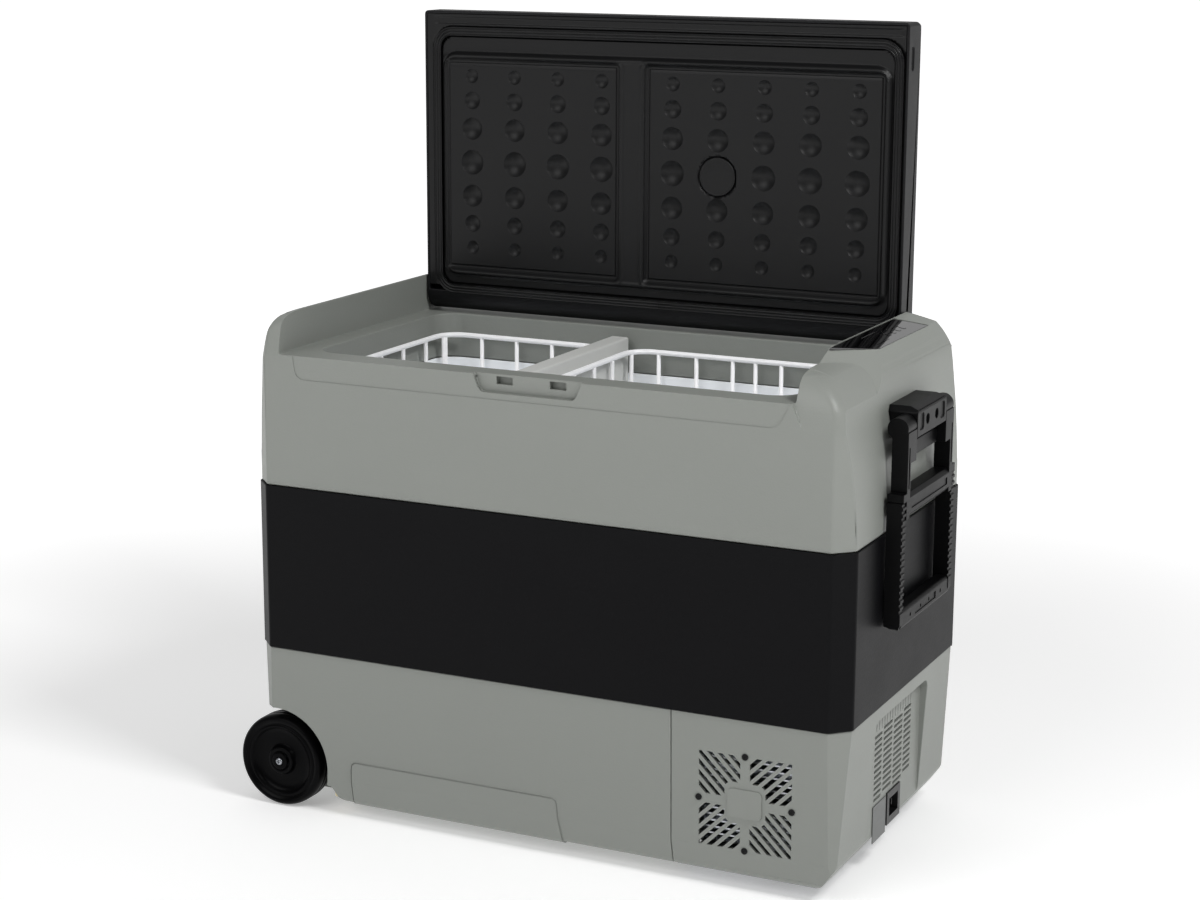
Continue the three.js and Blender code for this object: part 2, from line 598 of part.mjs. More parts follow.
function handleArm() {
  const x = [HANDLE.inside, HANDLE.outside];
  const ears = [-1, 1].flatMap((s) => {
    const y = s < 0 ? [-HANDLE.armHalf, -42.5] : [42.5, HANDLE.armHalf];
    return [rod('y', 10, y[0], y[1], [HANDLE.pivotX, HANDLE.pivotZ], 24), box(x, y, [395, 424])];
  });
  const sides = [-1, 1].flatMap((s) => {
    const span = (a, b) => (s < 0 ? [-b, -a] : [a, b]);
    return [box(x, span(57, HANDLE.armHalf), [346, 410]),
      box(x, span(57, HANDLE.gripHalf - 1), [GRIP.top + GAP, 369]),
      box(RAIL.x, span(...RAIL.y), [RAIL.low, 366])];
  });
  const crossBar = box([HANDLE.inside, 318], [-60, 60], [394, 409]);
  const lowBar = box(x, [-60, 60], [344, 367]);
  const bracketRoom = box([290, 340], [-42.5, 42.5], [409, 450]);
  return cut(join([...ears, ...sides, crossBar, lowBar]), [bracketRoom, ...handlePinHoles(GAP)]);
}

function handleGrip() {
  const teeth = [];
  const pitch = (GRIP.top - 256) / GRIP.teeth;
  for (let i = 0; i < GRIP.teeth; i += 1) {
    teeth.push([HANDLE.outside, 256 + i * pitch], [HANDLE.outside - GRIP.tooth, 256 + (i + 0.8) * pitch]);
  }
  const side = outline([[HANDLE.inside, GRIP.low + 3], [HANDLE.outside - 3, GRIP.low], [HANDLE.outside, 248],
    ...teeth, [HANDLE.outside, GRIP.top], [HANDLE.inside, GRIP.top]]);
  const half = HANDLE.gripHalf;
  const legSpans = [[-half, -half + GRIP.leg], [half - GRIP.leg, half]];
  const legs = legSpans.map(([from, to]) => push(side, 'y', from, to));
  const bar = box([HANDLE.inside, HANDLE.outside - 0.5], [-70, 70], [GRIP.low, GRIP.low + GRIP.bar]);
  const channels = [-1, 1].map((s) => {
    const y = s < 0 ? [-RAIL.y[1] - GAP, -RAIL.y[0] + GAP] : [RAIL.y[0] - GAP, RAIL.y[1] + GAP];
    return box([RAIL.x[0] - GAP, RAIL.x[1] + GAP], y, [RAIL.low - 2, 400]);
  });
  return cut(join([...legs, bar]), channels);
}

// ---------------------------------------------------------------- baskets and divider
function basket(blocks) {
  const { wall, top, front, rear } = BASKET;
  const block = ({ x, low }, inset) => {
    const plan = roundedRect([x[0] + inset, x[1] - inset], [front + inset, rear - inset], 18);
    return push(plan, 'z', low + inset, top + inset, 4);
  };
  const whole = (inset) => join(blocks.map((each) => block(each, inset)));
  return whole(0).subtract(whole(wall));
}

// ---------------------------------------------------------------- assembly
piece('upper_shell', upperShell(), GREY_SHELL);
const bandLow = CABINET.bandLow;
const bandRing = push(plan(0), 'z', bandLow, CABINET.bandHigh).subtract(push(plan(WALL), 'z', 100, 400));
piece('middle_band', bandRing, BLACK_SATIN);
piece('lower_shell', lowerShell(), GREY_SHELL);
piece('compressor_bay_cover', bayCover(), GREY_SHELL);
piece('bay_roof', push(plan(WALL + 4), 'z', bandLow + GAP, bandLow + 2).intersect(
  box([BAY.seam + 1, 330], [-170, 170], [100, 200])), STEEL);
piece('base_pan', box([BAY.seam + WALL, 280], [-147, 147], [CABINET.bottom, CABINET.bottom + 2]), STEEL);
piece('tub_liner', tubLiner(), WHITE_LINER);
piece('insulation_foam', foam(), FOAM);
piece('evaporator_plate', evaporator(), ALUMINIUM);
piece('compressor', compressor(), BLACK_SATIN);
piece('condenser', condenser(), ALUMINIUM);
piece('fan_housing', fanHousing(), BLACK_SATIN);
piece('fan_rotor', fanRotor(), BLACK_SATIN);
piece('control_board', controlBoard(), BOARD_GREEN);
piece('dc_socket', dcSocket(), BLACK_SATIN);
piece('rating_plate', box([BAY.wallX + GAP, BAY.wallX + 1], [-54, -18], [26, 62]), BLACK_SATIN);
piece('control_panel', controlPanel(), BLACK_GLOSS);
piece('display_window', displayBlock(0), BLACK_GLOSS);
const KEY_NAMES = ['power', 'set', 'up', 'down'];
keyPlaces.forEach((y, i) => {
  const keyTop = panelTop + 0.4;
  piece(`key_${KEY_NAMES[i]}`, keyRod(y, KEY.radius, keyTop, keyTop - KEY.tall), BLACK_GLOSS);
});
grilleScrews.forEach(([x, z], i) => {
  const wall = -lowerWall(z);
  const head = rod('y', 3.2, wall - 1.4, wall - 0.4, [x, z], 12);
  const shank = rod('y', 1.6, wall - 0.8, -150, [x, z], 10);
  piece(`grille_screw_${i + 1}`, head.add(shank), STEEL);
});
[-1, 1].forEach((side) => {
  const where = side < 0 ? 'front' : 'rear';
  const y = side < 0 ? [-FOOT.far, -FOOT.near] : [FOOT.near, FOOT.far];
  piece(`rubber_foot_${where}`, box(FOOT.x, y, [0, CABINET.bottom - GAP]), RUBBER);
  piece(`wheel_${where}`, wheel(side), BLACK_SATIN);
  piece(`wheel_screw_${where}`, wheelScrew(side), STEEL);
  const pinSpan = side < 0 ? [-60, -34] : [34, 60];
  piece(`handle_pin_${where}`, rod('y', 3.5, ...pinSpan, [HANDLE.pivotX, HANDLE.pivotZ], 16), STEEL);
  piece(`bracket_screw_${where}`, rod('x', 2, 302, 322.4, [side * 13, 428], 12).add(
    rod('x', 4.2, 322.3, 324.5, [side * 13, 428], 16)), STEEL);
});
const axleEnd = WHEEL.face - 2;
piece('wheel_axle', rod('y', AXLE_RADIUS, -axleEnd, axleEnd, [WHEEL.x, WHEEL.radius], 20), STEEL);
piece('handle_bracket', bracket(), BLACK_SATIN);
piece('handle_arm', handleArm(), BLACK_SATIN);
piece('handle_grip', handleGrip(), BLACK_SATIN);
piece('lid_shell', lidShell(), BLACK_SATIN);
piece('lid_liner', lidLiner(), BLACK_SATIN);
piece('lid_gasket', gasketRing(LID.under + 1, 0), RUBBER);
piece('lid_foam', lidFoam(), FOAM);
piece('lid_fill_plug', rod('y', 19.2, PLUG.face + 1, LID.under + 2.5, [57.8, 620], 32), BLACK_SATIN);
piece('hinge_pin_left', hingePin(-279.5, -263, 0), STEEL);
piece('hinge_pin_right', hingePin(242, 259, 0), STEEL);
piece('basket_left', basket([{ x: [-217, -58], low: 56 }, { x: [-248, -58], low: 118 }]), WHITE_COAT);
piece('basket_right', basket([{ x: [-30.5, 127], low: 56 }, { x: [-30.5, 234], low: 197 }]), WHITE_COAT);
const divider = box([DIVIDER.left, DIVIDER.right], [TUB.front + 4, 121], [TUB.floor + 5, DIVIDER.top]);
piece('tub_divider', divider, LIGHT_GREY);

// The origin goes under the middle of the whole cooler, on the floor.
const reach = new THREE.Box3().setFromObject(root);
root.position.set(-(reach.min.x + reach.max.x) / 2, -(reach.min.y + reach.max.y) / 2, -reach.min.z);
root.updateMatrixWorld(true);

export default root;
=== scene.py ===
# %% [markdown]
# # A compressor cooler fridge, its lid standing open
# The engineering model already knows where every piece sits and how it moves. This notebook
# builds the surfaces that people see around it: moulded shells, a dimpled lid, wire baskets,
# wheels and a fold-out tow handle. Each step says what the real piece is and why it is made
# the way it is here.

# %% Load the frame
import math
from contextlib import contextmanager

import bmesh
import bpy
import numpy as np
from mathutils import Matrix, Vector


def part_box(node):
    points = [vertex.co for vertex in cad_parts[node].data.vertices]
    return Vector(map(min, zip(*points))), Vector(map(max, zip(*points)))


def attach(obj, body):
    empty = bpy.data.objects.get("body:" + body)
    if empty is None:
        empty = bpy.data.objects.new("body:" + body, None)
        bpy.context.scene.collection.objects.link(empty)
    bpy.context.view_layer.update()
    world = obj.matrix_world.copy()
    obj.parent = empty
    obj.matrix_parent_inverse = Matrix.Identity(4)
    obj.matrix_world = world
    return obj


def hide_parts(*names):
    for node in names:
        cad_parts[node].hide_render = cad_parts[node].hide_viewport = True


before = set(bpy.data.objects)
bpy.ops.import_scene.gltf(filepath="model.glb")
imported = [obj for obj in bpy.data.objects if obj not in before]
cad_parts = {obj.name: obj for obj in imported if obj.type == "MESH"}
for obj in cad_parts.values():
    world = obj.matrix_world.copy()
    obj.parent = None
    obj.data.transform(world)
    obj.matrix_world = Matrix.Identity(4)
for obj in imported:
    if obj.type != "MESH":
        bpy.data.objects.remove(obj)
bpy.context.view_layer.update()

# %% [markdown]
# ## Millimetres from the middle of the cabinet
# Moulded goods are drawn in millimetres, so every shape below is too. The black band is the
# one part of the cabinet with straight walls, which makes its middle a good place to measure
# from. `span` reads where a frame piece lies in those same units.

# %% Units and places
MM = 0.001
band_low, band_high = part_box("middle_band")
ORIGIN = Vector(((band_low.x + band_high.x) / 2, (band_low.y + band_high.y) / 2, 0))


def metres(point):
    return Vector(point) * MM + ORIGIN


def span(node):
    low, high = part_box(node)
    return (low - ORIGIN) / MM, (high - ORIGIN) / MM


def middle(node):
    low, high = span(node)
    return (low + high) / 2


BAND = span("middle_band")
HALF_LENGTH = BAND[1].x
HALF_DEPTH = BAND[1].y
FLOOR_EDGE = span("lower_shell")[0].z
print("cabinet band is", round(2 * HALF_LENGTH), "by", round(2 * HALF_DEPTH), "mm")

# %% [markdown]
# ## The camera
# The viewer stands a little over two metres away, to the right of the front and slightly above
# the top of the open lid. A long lens keeps the upright edges nearly parallel.

# %% Camera
CAMERA_AZIMUTH = math.radians(25.63)
CAMERA_ELEVATION = math.radians(12.54)
CAMERA_ROLL = math.radians(0.25)
CAMERA_DISTANCE = 2388.7
CAMERA_TARGET = (-10.6, 0, 369.0)

camera_data = bpy.data.cameras.new("camera")
camera_data.sensor_width = 36
camera_data.lens = 73.32
camera_data.shift_x = 0.0006
camera_data.shift_y = -0.0062
camera = bpy.data.objects.new("camera", camera_data)
bpy.context.scene.collection.objects.link(camera)
back = Vector((math.sin(CAMERA_AZIMUTH) * math.cos(CAMERA_ELEVATION),
               -math.cos(CAMERA_AZIMUTH) * math.cos(CAMERA_ELEVATION),
               math.sin(CAMERA_ELEVATION)))
camera.location = metres(CAMERA_TARGET) + back * CAMERA_DISTANCE * MM
aim = (-back).to_track_quat("-Z", "Y").to_matrix().to_4x4()
camera.rotation_mode = "QUATERNION"
camera.rotation_quaternion = (aim @ Matrix.Rotation(CAMERA_ROLL, 4, "Z")).to_quaternion()
bpy.context.scene.camera = camera
print("camera stands", round((camera.location - metres(CAMERA_TARGET)).length, 2), "m away")

# %% [markdown]
# ## Outlines
# Most of the cooler is sheet and block, cut and joined. Every block starts as a flat outline.
# A real mould has no knife edges, so the helpers here turn corners into arcs and run soft
# curves through a few chosen points.

# %% Arcs and rounded outlines
def arc(cx, cy, radius, start, end, steps):
    angles = np.radians(np.linspace(start, end, steps + 1))
    return [(cx + radius * math.cos(a), cy + radius * math.sin(a)) for a in angles]


def rounded_rect(u, v, radius, steps=8):
    return (arc(u[1] - radius, v[0] + radius, radius, -90, 0, steps)
            + arc(u[1] - radius, v[1] - radius, radius, 0, 90, steps)
            + arc(u[0] + radius, v[1] - radius, radius, 90, 180, steps)
            + arc(u[0] + radius, v[0] + radius, radius, 180, 270, steps))


def rounded(points, radius, steps=6):
    """Turns each corner of an outline into an arc. radius is one size, or one for each corner."""
    sizes = radius if isinstance(radius, list) else [radius] * len(points)
    result = []
    for i, size in enumerate(sizes):
        corner = Vector(points[i])
        before = (Vector(points[i - 1]) - corner).normalized()
        after = (Vector(points[(i + 1) % len(points)]) - corner).normalized()
        half = before.angle(after) / 2
        if size <= 0 or half > math.radians(89):
            result.append(tuple(corner))
            continue
        centre = corner + (before + after).normalized() * size / math.sin(half)
        start = corner + before * size / math.tan(half) - centre
        end = corner + after * size / math.tan(half) - centre
        first = math.degrees(math.atan2(start.y, start.x))
        sweep = math.degrees(math.remainder(math.atan2(end.y, end.x) - math.radians(first), math.tau))
        result += arc(centre.x, centre.y, size, first, first + sweep, steps)
    return result


def curve_through(points, steps=6):
    """A smooth line through the points, as a bent spring strip would lie."""
    ends = [Vector(points[0]) * 2 - Vector(points[1]), Vector(points[-1]) * 2 - Vector(points[-2])]
    knots = [ends[0], *[Vector(p) for p in points], ends[1]]
    result = []
    for a, b, c, d in zip(knots, knots[1:], knots[2:], knots[3:]):
        for t in np.linspace(0, 1, steps, endpoint=False):
            result.append(tuple(0.5 * (2 * b + (c - a) * t + (2 * a - 5 * b + 4 * c - d) * t ** 2
                                       + (3 * b - a - 3 * c + d) * t ** 3)))
    return result + [tuple(points[-1])]


print("a rounded square has", len(rounded([(0, 0), (9, 0), (9, 9), (0, 9)], 2)), "points")

# %% [markdown]
# ## Solids
# An outline pushed along an axis is a block, turned about an axis it is a wheel, and swept
# along a path it is a seal or a wire. Booleans join and cut the blocks. Last comes `soften`:
# a narrow bevel on every sharp edge, with normals weighted by face area, gives the small
# radii that a mould leaves. Those radii are what catch the light. Where slots, teeth or rolled
# tops are finer than that bevel, the body is bevelled first and they are cut afterwards.

# %% Pushed, turned and swept shapes
PLACE = {"x": lambda u, v, w: (w, u, v), "y": lambda u, v, w: (u, w, v), "z": lambda u, v, w: (u, v, w)}
MERGE = 0.02


def add_object(name, data):
    piece = bpy.data.objects.new(name, data)
    bpy.context.scene.collection.objects.link(piece)
    return piece


@contextmanager
def editing(mesh):
    """Opens a mesh for editing and writes it back at the end."""
    bm = bmesh.new()
    bm.from_mesh(mesh)
    yield bm
    bm.to_mesh(mesh)
    bm.free()


def new_object(name, points, faces):
    mesh = bpy.data.meshes.new(name)
    mesh.from_pydata([metres(p) for p in points], [], faces)
    with editing(mesh) as bm:
        bmesh.ops.recalc_face_normals(bm, faces=bm.faces)
        bmesh.ops.triangulate(bm, faces=[face for face in bm.faces if len(face.verts) > 4])
    return add_object(name, mesh)


def prism(name, outline, axis, low, high):
    place = PLACE[axis]
    n = len(outline)
    ring = [place(u, v, low) for u, v in outline] + [place(u, v, high) for u, v in outline]
    sides = [(i, (i + 1) % n, n + (i + 1) % n, n + i) for i in range(n)]
    return new_object(name, ring, [tuple(range(n))[::-1], tuple(range(n, 2 * n)), *sides])


def box(x, y, z):
    return prism("box", [(x[0], y[0]), (x[1], y[0]), (x[1], y[1]), (x[0], y[1])], "z", z[0], z[1])


def rod(axis, radius, centre, low, high, sides=40):
    outline = arc(centre[0], centre[1], radius, 0, 360 - 360 / sides, sides - 1)
    return prism("rod", outline, axis, low, high)


def loft(name, rings, closed_ends=True):
    """Joins rings that have the same number of points into one skin."""
    n = len(rings[0])
    points = [p for ring in rings for p in ring]
    count = len(rings)
    faces = [(k * n + i, k * n + (i + 1) % n, (k + 1) % count * n + (i + 1) % n, (k + 1) % count * n + i)
             for k in range(count - 1 if closed_ends else count) for i in range(n)]
    if closed_ends:
        faces += [tuple(range(n))[::-1], tuple(range((count - 1) * n, count * n))]
    return new_object(name, points, faces)


def turned(name, axis, centre, profile, sides=128):
    """A closed profile of (radius, place along the axis), turned once round."""
    angles = np.linspace(0, math.tau, sides, endpoint=False)
    place = PLACE[axis]
    rings = [[place(centre[0] + r * math.cos(a), centre[1] + r * math.sin(a), h) for r, h in profile]
             for a in angles]
    return loft(name, rings, closed_ends=False)


def clean(piece):
    """Merges points that a cut left almost on top of each other."""
    with editing(piece.data) as bm:
        bmesh.ops.remove_doubles(bm, verts=bm.verts, dist=MERGE * MM)
        bmesh.ops.dissolve_degenerate(bm, edges=bm.edges, dist=MERGE * MM)


def in_triangles(piece):
    """Splits every face, so that a ring of flat surface cannot close over its hole."""
    with editing(piece.data) as bm:
        bmesh.ops.triangulate(bm, faces=bm.faces)
    return piece


def settle(piece):
    """Makes what the modifiers show into the piece's own mesh."""
    graph = bpy.context.evaluated_depsgraph_get()
    mesh = bpy.data.meshes.new_from_object(piece.evaluated_get(graph))
    piece.modifiers.clear()
    piece.data = mesh
    return piece


def add_bevel(piece, radius, angle, segments):
    bevel = piece.modifiers.new("edge radius", "BEVEL")
    bevel.limit_method = "ANGLE"
    bevel.angle_limit = math.radians(angle)
    bevel.width = radius * MM
    bevel.segments = segments
    return bevel


def flat_faces(piece):
    """Lets large faces set the normals, so that flats stay flat beside their bevels."""
    normals = piece.modifiers.new("flat faces", "WEIGHTED_NORMAL")
    normals.keep_sharp = True


def edge_radius(piece, radius, angle=28, segments=3):
    clean(piece)
    add_bevel(piece, radius, angle, segments).use_clamp_overlap = False
    return piece


def shape(body, operation, tools):
    """Joins, cuts or intersects body with each tool, and uses the tools up."""
    for tool in tools:
        step = body.modifiers.new("step", "BOOLEAN")
        step.operation = operation
        step.solver = "MANIFOLD"
        step.object = tool
    settle(body)
    for tool in tools:
        bpy.data.objects.remove(tool)
    return body


def gather(name, pieces):
    """Puts several meshes into one object, without cutting them."""
    bm = bmesh.new()
    for piece in pieces:
        bm.from_mesh(piece.data)
        bpy.data.objects.remove(piece)
    mesh = bpy.data.meshes.new(name)
    bm.to_mesh(mesh)
    bm.free()
    return add_object(name, mesh)


def soften(piece, radius=1.0, angle=28, segments=3):
    """Rounds a cut mesh's sharp edges and keeps its flats flat."""
    if radius:
        edge_radius(piece, radius, angle, segments)
    piece.data.shade_smooth()
    flat_faces(piece)
    return piece


def crisp(piece, angle):
    """Keeps every crease that turns by more than the angle."""
    piece.data.set_sharp_from_angle(angle=math.radians(angle))
    return piece


def finish(piece, name, body, slot, look, *nodes):
    """Names a piece, paints it, and lets it ride on its body in place of its frame nodes."""
    piece.name = name
    piece.data.materials.clear()
    piece.data.materials.append(look)
    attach(piece, body)
    if nodes:
        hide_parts(*nodes)
    print(f"{name}: {len(piece.data.polygons)} faces on {body}")
    return piece

# %% [markdown]
# ## Finishes
# Nearly everything here is injection-moulded plastic, and moulded plastic is never one flat
# tone. The tool's surface leaves a fine grain, the colour drifts a little over a wide wall,
# and hands and boxes leave patches that are slightly shinier. Three small node groups carry
# those effects, so that each finish only has to say how much of each it wants.

# %% A node group with named sockets
def effect(name, inputs, outputs):
    tree = bpy.data.node_groups.new(name, "ShaderNodeTree")
    for label, kind, value in inputs:
        socket = tree.interface.new_socket(label, in_out="INPUT", socket_type="NodeSocket" + kind)
        socket.default_value = value
    for label, kind in outputs:
        tree.interface.new_socket(label, in_out="OUTPUT", socket_type="NodeSocket" + kind)
    source = tree.nodes.new("NodeGroupInput")
    sink = tree.nodes.new("NodeGroupOutput")
    return tree, source, sink


def set_inputs(node, values):
    for label, value in values.items():
        node.inputs[label].default_value = value


def math_node(tree, operation, first, second):
    node = tree.nodes.new("ShaderNodeMath")
    node.operation = operation
    for socket, value in zip(node.inputs, (first, second)):
        if isinstance(value, (int, float)):
            socket.default_value = value
        else:
            tree.links.new(value, socket)
    return node.outputs[0]


def noise(tree, scale, detail, where):
    node = tree.nodes.new("ShaderNodeTexNoise")
    node.inputs["Detail"].default_value = detail
    tree.links.new(where, node.inputs["Vector"])
    if isinstance(scale, (int, float)):
        node.inputs["Scale"].default_value = scale
    else:
        tree.links.new(scale, node.inputs["Scale"])
    return node.outputs["Fac"]


# %% Mould grain: small pebbles with a finer roughness on them
grain, source, sink = effect("mould grain", [("Scale", "Float", 900.0), ("Fineness", "Float", 0.4)],
                             [("Height", "Float")])
where = grain.nodes.new("ShaderNodeTexCoord").outputs["Object"]
pebbles = grain.nodes.new("ShaderNodeTexVoronoi")
pebbles.feature = "SMOOTH_F1"
grain.links.new(where, pebbles.inputs["Vector"])
grain.links.new(source.outputs["Scale"], pebbles.inputs["Scale"])
fine_scale = math_node(grain, "MULTIPLY", source.outputs["Scale"], 2.3)
fine = math_node(grain, "MULTIPLY", noise(grain, fine_scale, 2, where), source.outputs["Fineness"])
height = math_node(grain, "ADD", math_node(grain, "SUBTRACT", 1.0, pebbles.outputs["Distance"]), fine)
grain.links.new(height, sink.inputs["Height"])
print("built", grain.name)

# %% Tone drift: wide soft clouds and a fine fleck in the colour
drift, source, sink = effect("tone drift", [("Color", "Color", (1, 1, 1, 1)), ("Amount", "Float", 0.06),
                                            ("Fleck", "Float", 0.03)], [("Color", "Color")])
where = drift.nodes.new("ShaderNodeTexCoord").outputs["Object"]
clouds = math_node(drift, "SUBTRACT", noise(drift, 7.0, 3, where), 0.5)
flecks = math_node(drift, "SUBTRACT", noise(drift, 1400.0, 1, where), 0.5)
change = math_node(drift, "ADD", math_node(drift, "MULTIPLY", clouds, source.outputs["Amount"]),
                   math_node(drift, "MULTIPLY", flecks, source.outputs["Fleck"]))
tone = drift.nodes.new("ShaderNodeVectorMath")
tone.operation = "SCALE"
drift.links.new(source.outputs["Color"], tone.inputs[0])
drift.links.new(math_node(drift, "ADD", change, 1.0), tone.inputs["Scale"])
drift.links.new(tone.outputs[0], sink.inputs["Color"])
print("built", drift.name)

# %% Handling: patches that touch has polished, and hairline rubs
handling, source, sink = effect("handling", [("Roughness", "Float", 0.5), ("Polish", "Float", 0.1)],
                                [("Roughness", "Float")])
where = handling.nodes.new("ShaderNodeTexCoord").outputs["Object"]
patches = math_node(handling, "SUBTRACT", noise(handling, 16.0, 4, where), 0.5)
stretch = handling.nodes.new("ShaderNodeMapping")
stretch.inputs["Scale"].default_value = (9, 60, 420)
handling.links.new(where, stretch.inputs["Vector"])
rubs = math_node(handling, "SUBTRACT", noise(handling, 1.0, 2, stretch.outputs[0]), 0.5)
both = math_node(handling, "ADD", patches, math_node(handling, "MULTIPLY", rubs, 0.5))
worn = math_node(handling, "ADD", source.outputs["Roughness"],
                 math_node(handling, "MULTIPLY", both, source.outputs["Polish"]))
handling.links.new(worn, sink.inputs["Roughness"])
print("built", handling.name)

# %% [markdown]
# A finish is one Principled shader with the three effects plugged in. What is the same all
# over, such as the metal or the clear coat, is set on the shader itself.

# %% One finish from its numbers
def linear(red, green, blue):
    """Screen values from 0 to 255, as the light that they stand for."""
    return (*[(c / 255 / 12.92 if c < 10.3 else ((c / 255 + 0.055) / 1.055) ** 2.4)
              for c in (red, green, blue)], 1)


def finish_look(name, colour, roughness, grain_scale=900, grain_depth=0.06, fineness=0.4, clouds=0.06,
                fleck=0.03, polish=0.1, metal=0.0, specular=0.5, coat=0.0, glow=0.0):
    look = bpy.data.materials.new(name)
    look.use_nodes = True
    nodes, links = look.node_tree.nodes, look.node_tree.links
    shader = nodes["Principled BSDF"]
    # glow sets an emission strength. The white liner and the white wire use it as painted light, since no
    # lamp is there.
    set_inputs(shader, {"Metallic": metal, "Specular IOR Level": specular, "Coat Weight": coat,
                        "Coat Roughness": 0.03, "Emission Color": (1, 1, 1, 1), "Emission Strength": glow})

    def place(tree, **values):
        node = nodes.new("ShaderNodeGroup")
        node.node_tree = tree
        set_inputs(node, values)
        return node

    colours = place(drift, Color=linear(*colour), Amount=clouds, Fleck=fleck)
    links.new(colours.outputs["Color"], shader.inputs["Base Color"])
    touch = place(handling, Roughness=roughness, Polish=polish)
    links.new(touch.outputs["Roughness"], shader.inputs["Roughness"])
    if grain_depth:
        bump = nodes.new("ShaderNodeBump")
        set_inputs(bump, {"Distance": grain_depth * MM, "Strength": 1.0})
        pebbled = place(grain, Scale=grain_scale, Fineness=fineness)
        links.new(pebbled.outputs["Height"], bump.inputs["Height"])
        links.new(bump.outputs["Normal"], shader.inputs["Normal"])
    look.diffuse_color = linear(*colour)
    return look


grey_shell = finish_look("grey shell plastic", (136, 139, 134), 0.45, 620, 0.09, clouds=0.05)
black_band = finish_look("black band plastic", (10, 10, 12), 0.42, 620, 0.07, clouds=0.15, specular=0.09)
lid_black = finish_look("lid lining plastic", (7, 7, 8), 0.44, 760, 0.02, clouds=0.12, specular=0.3)
cover_black = finish_look("lid cover plastic", (14, 14, 16), 0.45, 620, 0.07, clouds=0.12, specular=0.2)
mirror_black = finish_look("control panel glass", (4, 4, 5), 0.05, grain_depth=0, polish=0.03, coat=1.0)
handle_black = finish_look("handle plastic", (8, 8, 9), 0.4, 900, 0.04, clouds=0.15, specular=0.11)
wheel_black = finish_look("wheel plastic", (4, 4, 5), 0.34, 1000, 0.03, clouds=0.15, specular=0.06)
seal_rubber = finish_look("seal rubber", (11, 11, 12), 0.34, 1500, 0.02, clouds=0.15, polish=0.15,
                          specular=0.25)
foot_rubber = finish_look("foot rubber", (20, 20, 21), 0.75, 1500, 0.05, clouds=0.2)
# The liner's glow is painted light: a faint emission that brightens the inside of the tub as light falling
# into it would.
white_liner = finish_look("white liner plastic", (236, 240, 244), 0.33, 900, 0.02, clouds=0.02, fleck=0.01,
                          glow=0.13)
# The coated wire's glow is painted light too: a weaker emission that lifts the baskets where the tub's
# inside is in shade.
basket_coat = finish_look("white coated wire", (252, 252, 254), 0.3, 500, 0.03, clouds=0.03, fleck=0.01,
                          glow=0.05)
divider_grey = finish_look("divider plastic", (205, 206, 203), 0.5, 800, 0.03, clouds=0.03)
fin_metal = finish_look("fin aluminium", (200, 203, 208), 0.3, 300, 0.03, metal=1.0, clouds=0.2)
screw_black = finish_look("blackened screw", (16, 16, 17), 0.4, 1200, 0.01, clouds=0.15, specular=0.2)
plate_grey = finish_look("rating plate", (96, 98, 97), 0.4, 900, 0.01, clouds=0.05)
screw_steel = finish_look("screw steel", (160, 163, 168), 0.28, 1200, 0.01, metal=1.0, clouds=0.2)
sheet_steel = finish_look("plain sheet steel", (140, 144, 148), 0.45, 900, 0.02, metal=1.0, clouds=0.2)
foam_cream = finish_look("foam", (216, 204, 165), 0.9, 450, 0.4, clouds=0.15, fleck=0.15)
board_green = finish_look("board green", (40, 88, 58), 0.45, 700, 0.05, clouds=0.25, fleck=0.3)
socket_black = finish_look("socket plastic", (15, 15, 16), 0.4, 1100, 0.03, clouds=0.12)
print("finishes:", len(bpy.data.materials))

# %% [markdown]
# ## The cabinet's outlines
# Three outlines make every wall of the cabinet: the plan with its corners cut at 45 degrees,
# the end walls that lean in above the band, and the front and rear walls. Each shell is the
# common part of blocks pushed from those outlines, so its walls meet as they do on the real one.

# %% Plan, end walls, front and rear walls
RIM = 461
BAND_LOW = BAND[0].z
BAND_HIGH = BAND[1].z
SHELL_INSET = 1.5
CORNER_CUT = 18
WALL = 3
SEAM_GAP = 0.3
ALONG = (-320, 320)
ACROSS = (-170, 170)
HANDLE_END_WALL = [(308.5, 320), (308.5, 336), (307.6, 361), (304.1, 401), (299.7, 431), (294.3, 461),
                   (288, 476), (281.3, 488)]
WHEEL_END_WALL = [(308.5, 320), (308.5, 336), (307.6, 361), (304.1, 401), (299.7, 431), (295.2, 461),
                  (291.5, 478), (286, 491)]


def plan(inset, radius=5):
    x = HALF_LENGTH - inset
    y = HALF_DEPTH - inset
    cut = CORNER_CUT - inset * 0.6
    corners = [(-x, -y + cut), (-x + cut, -y), (x - cut, -y), (x, -y + cut),
               (x, y - cut), (x - cut, y), (-x + cut, y), (-x, y - cut)]
    return rounded(corners, radius)


def upper_front(inset):
    right = [(x - inset, z) for x, z in curve_through(HANDLE_END_WALL)]
    left = [(inset - x, z) for x, z in curve_through(WHEEL_END_WALL)][::-1]
    crown = [(280.5 - inset, 489.6), (253, 498.8), (0, 498.8), (-272, 500), (-279, 498.6), (-283.5, 495.4)]
    return right + crown + left


def upper_side(inset):
    rear = arc(124 - inset, RIM, 36, 0, 82, 12)
    return [(-160.5 + inset, BAND_HIGH - 20), (160.5 - inset, BAND_HIGH - 20),
            *[(y, z + (z - RIM) * 0.1) for y, z in rear], (-160 + inset, 502), (-160.5 + inset, RIM)]


def lower_front(inset):
    right = [(309 - inset, 180), (308.5 - inset, 167), (305.5 - inset, 118), (300.5 - inset, 37),
             (284 - inset, FLOOR_EDGE + inset)]
    left = [(-284 + inset, FLOOR_EDGE + inset), (-300 + inset, 40), (-303.5 + inset, 100),
            (-308.5 + inset, 167), (-309 + inset, 180)]
    return rounded(right + left, [0, 0, 40, 14, 14, 14, 14, 40, 0, 0])


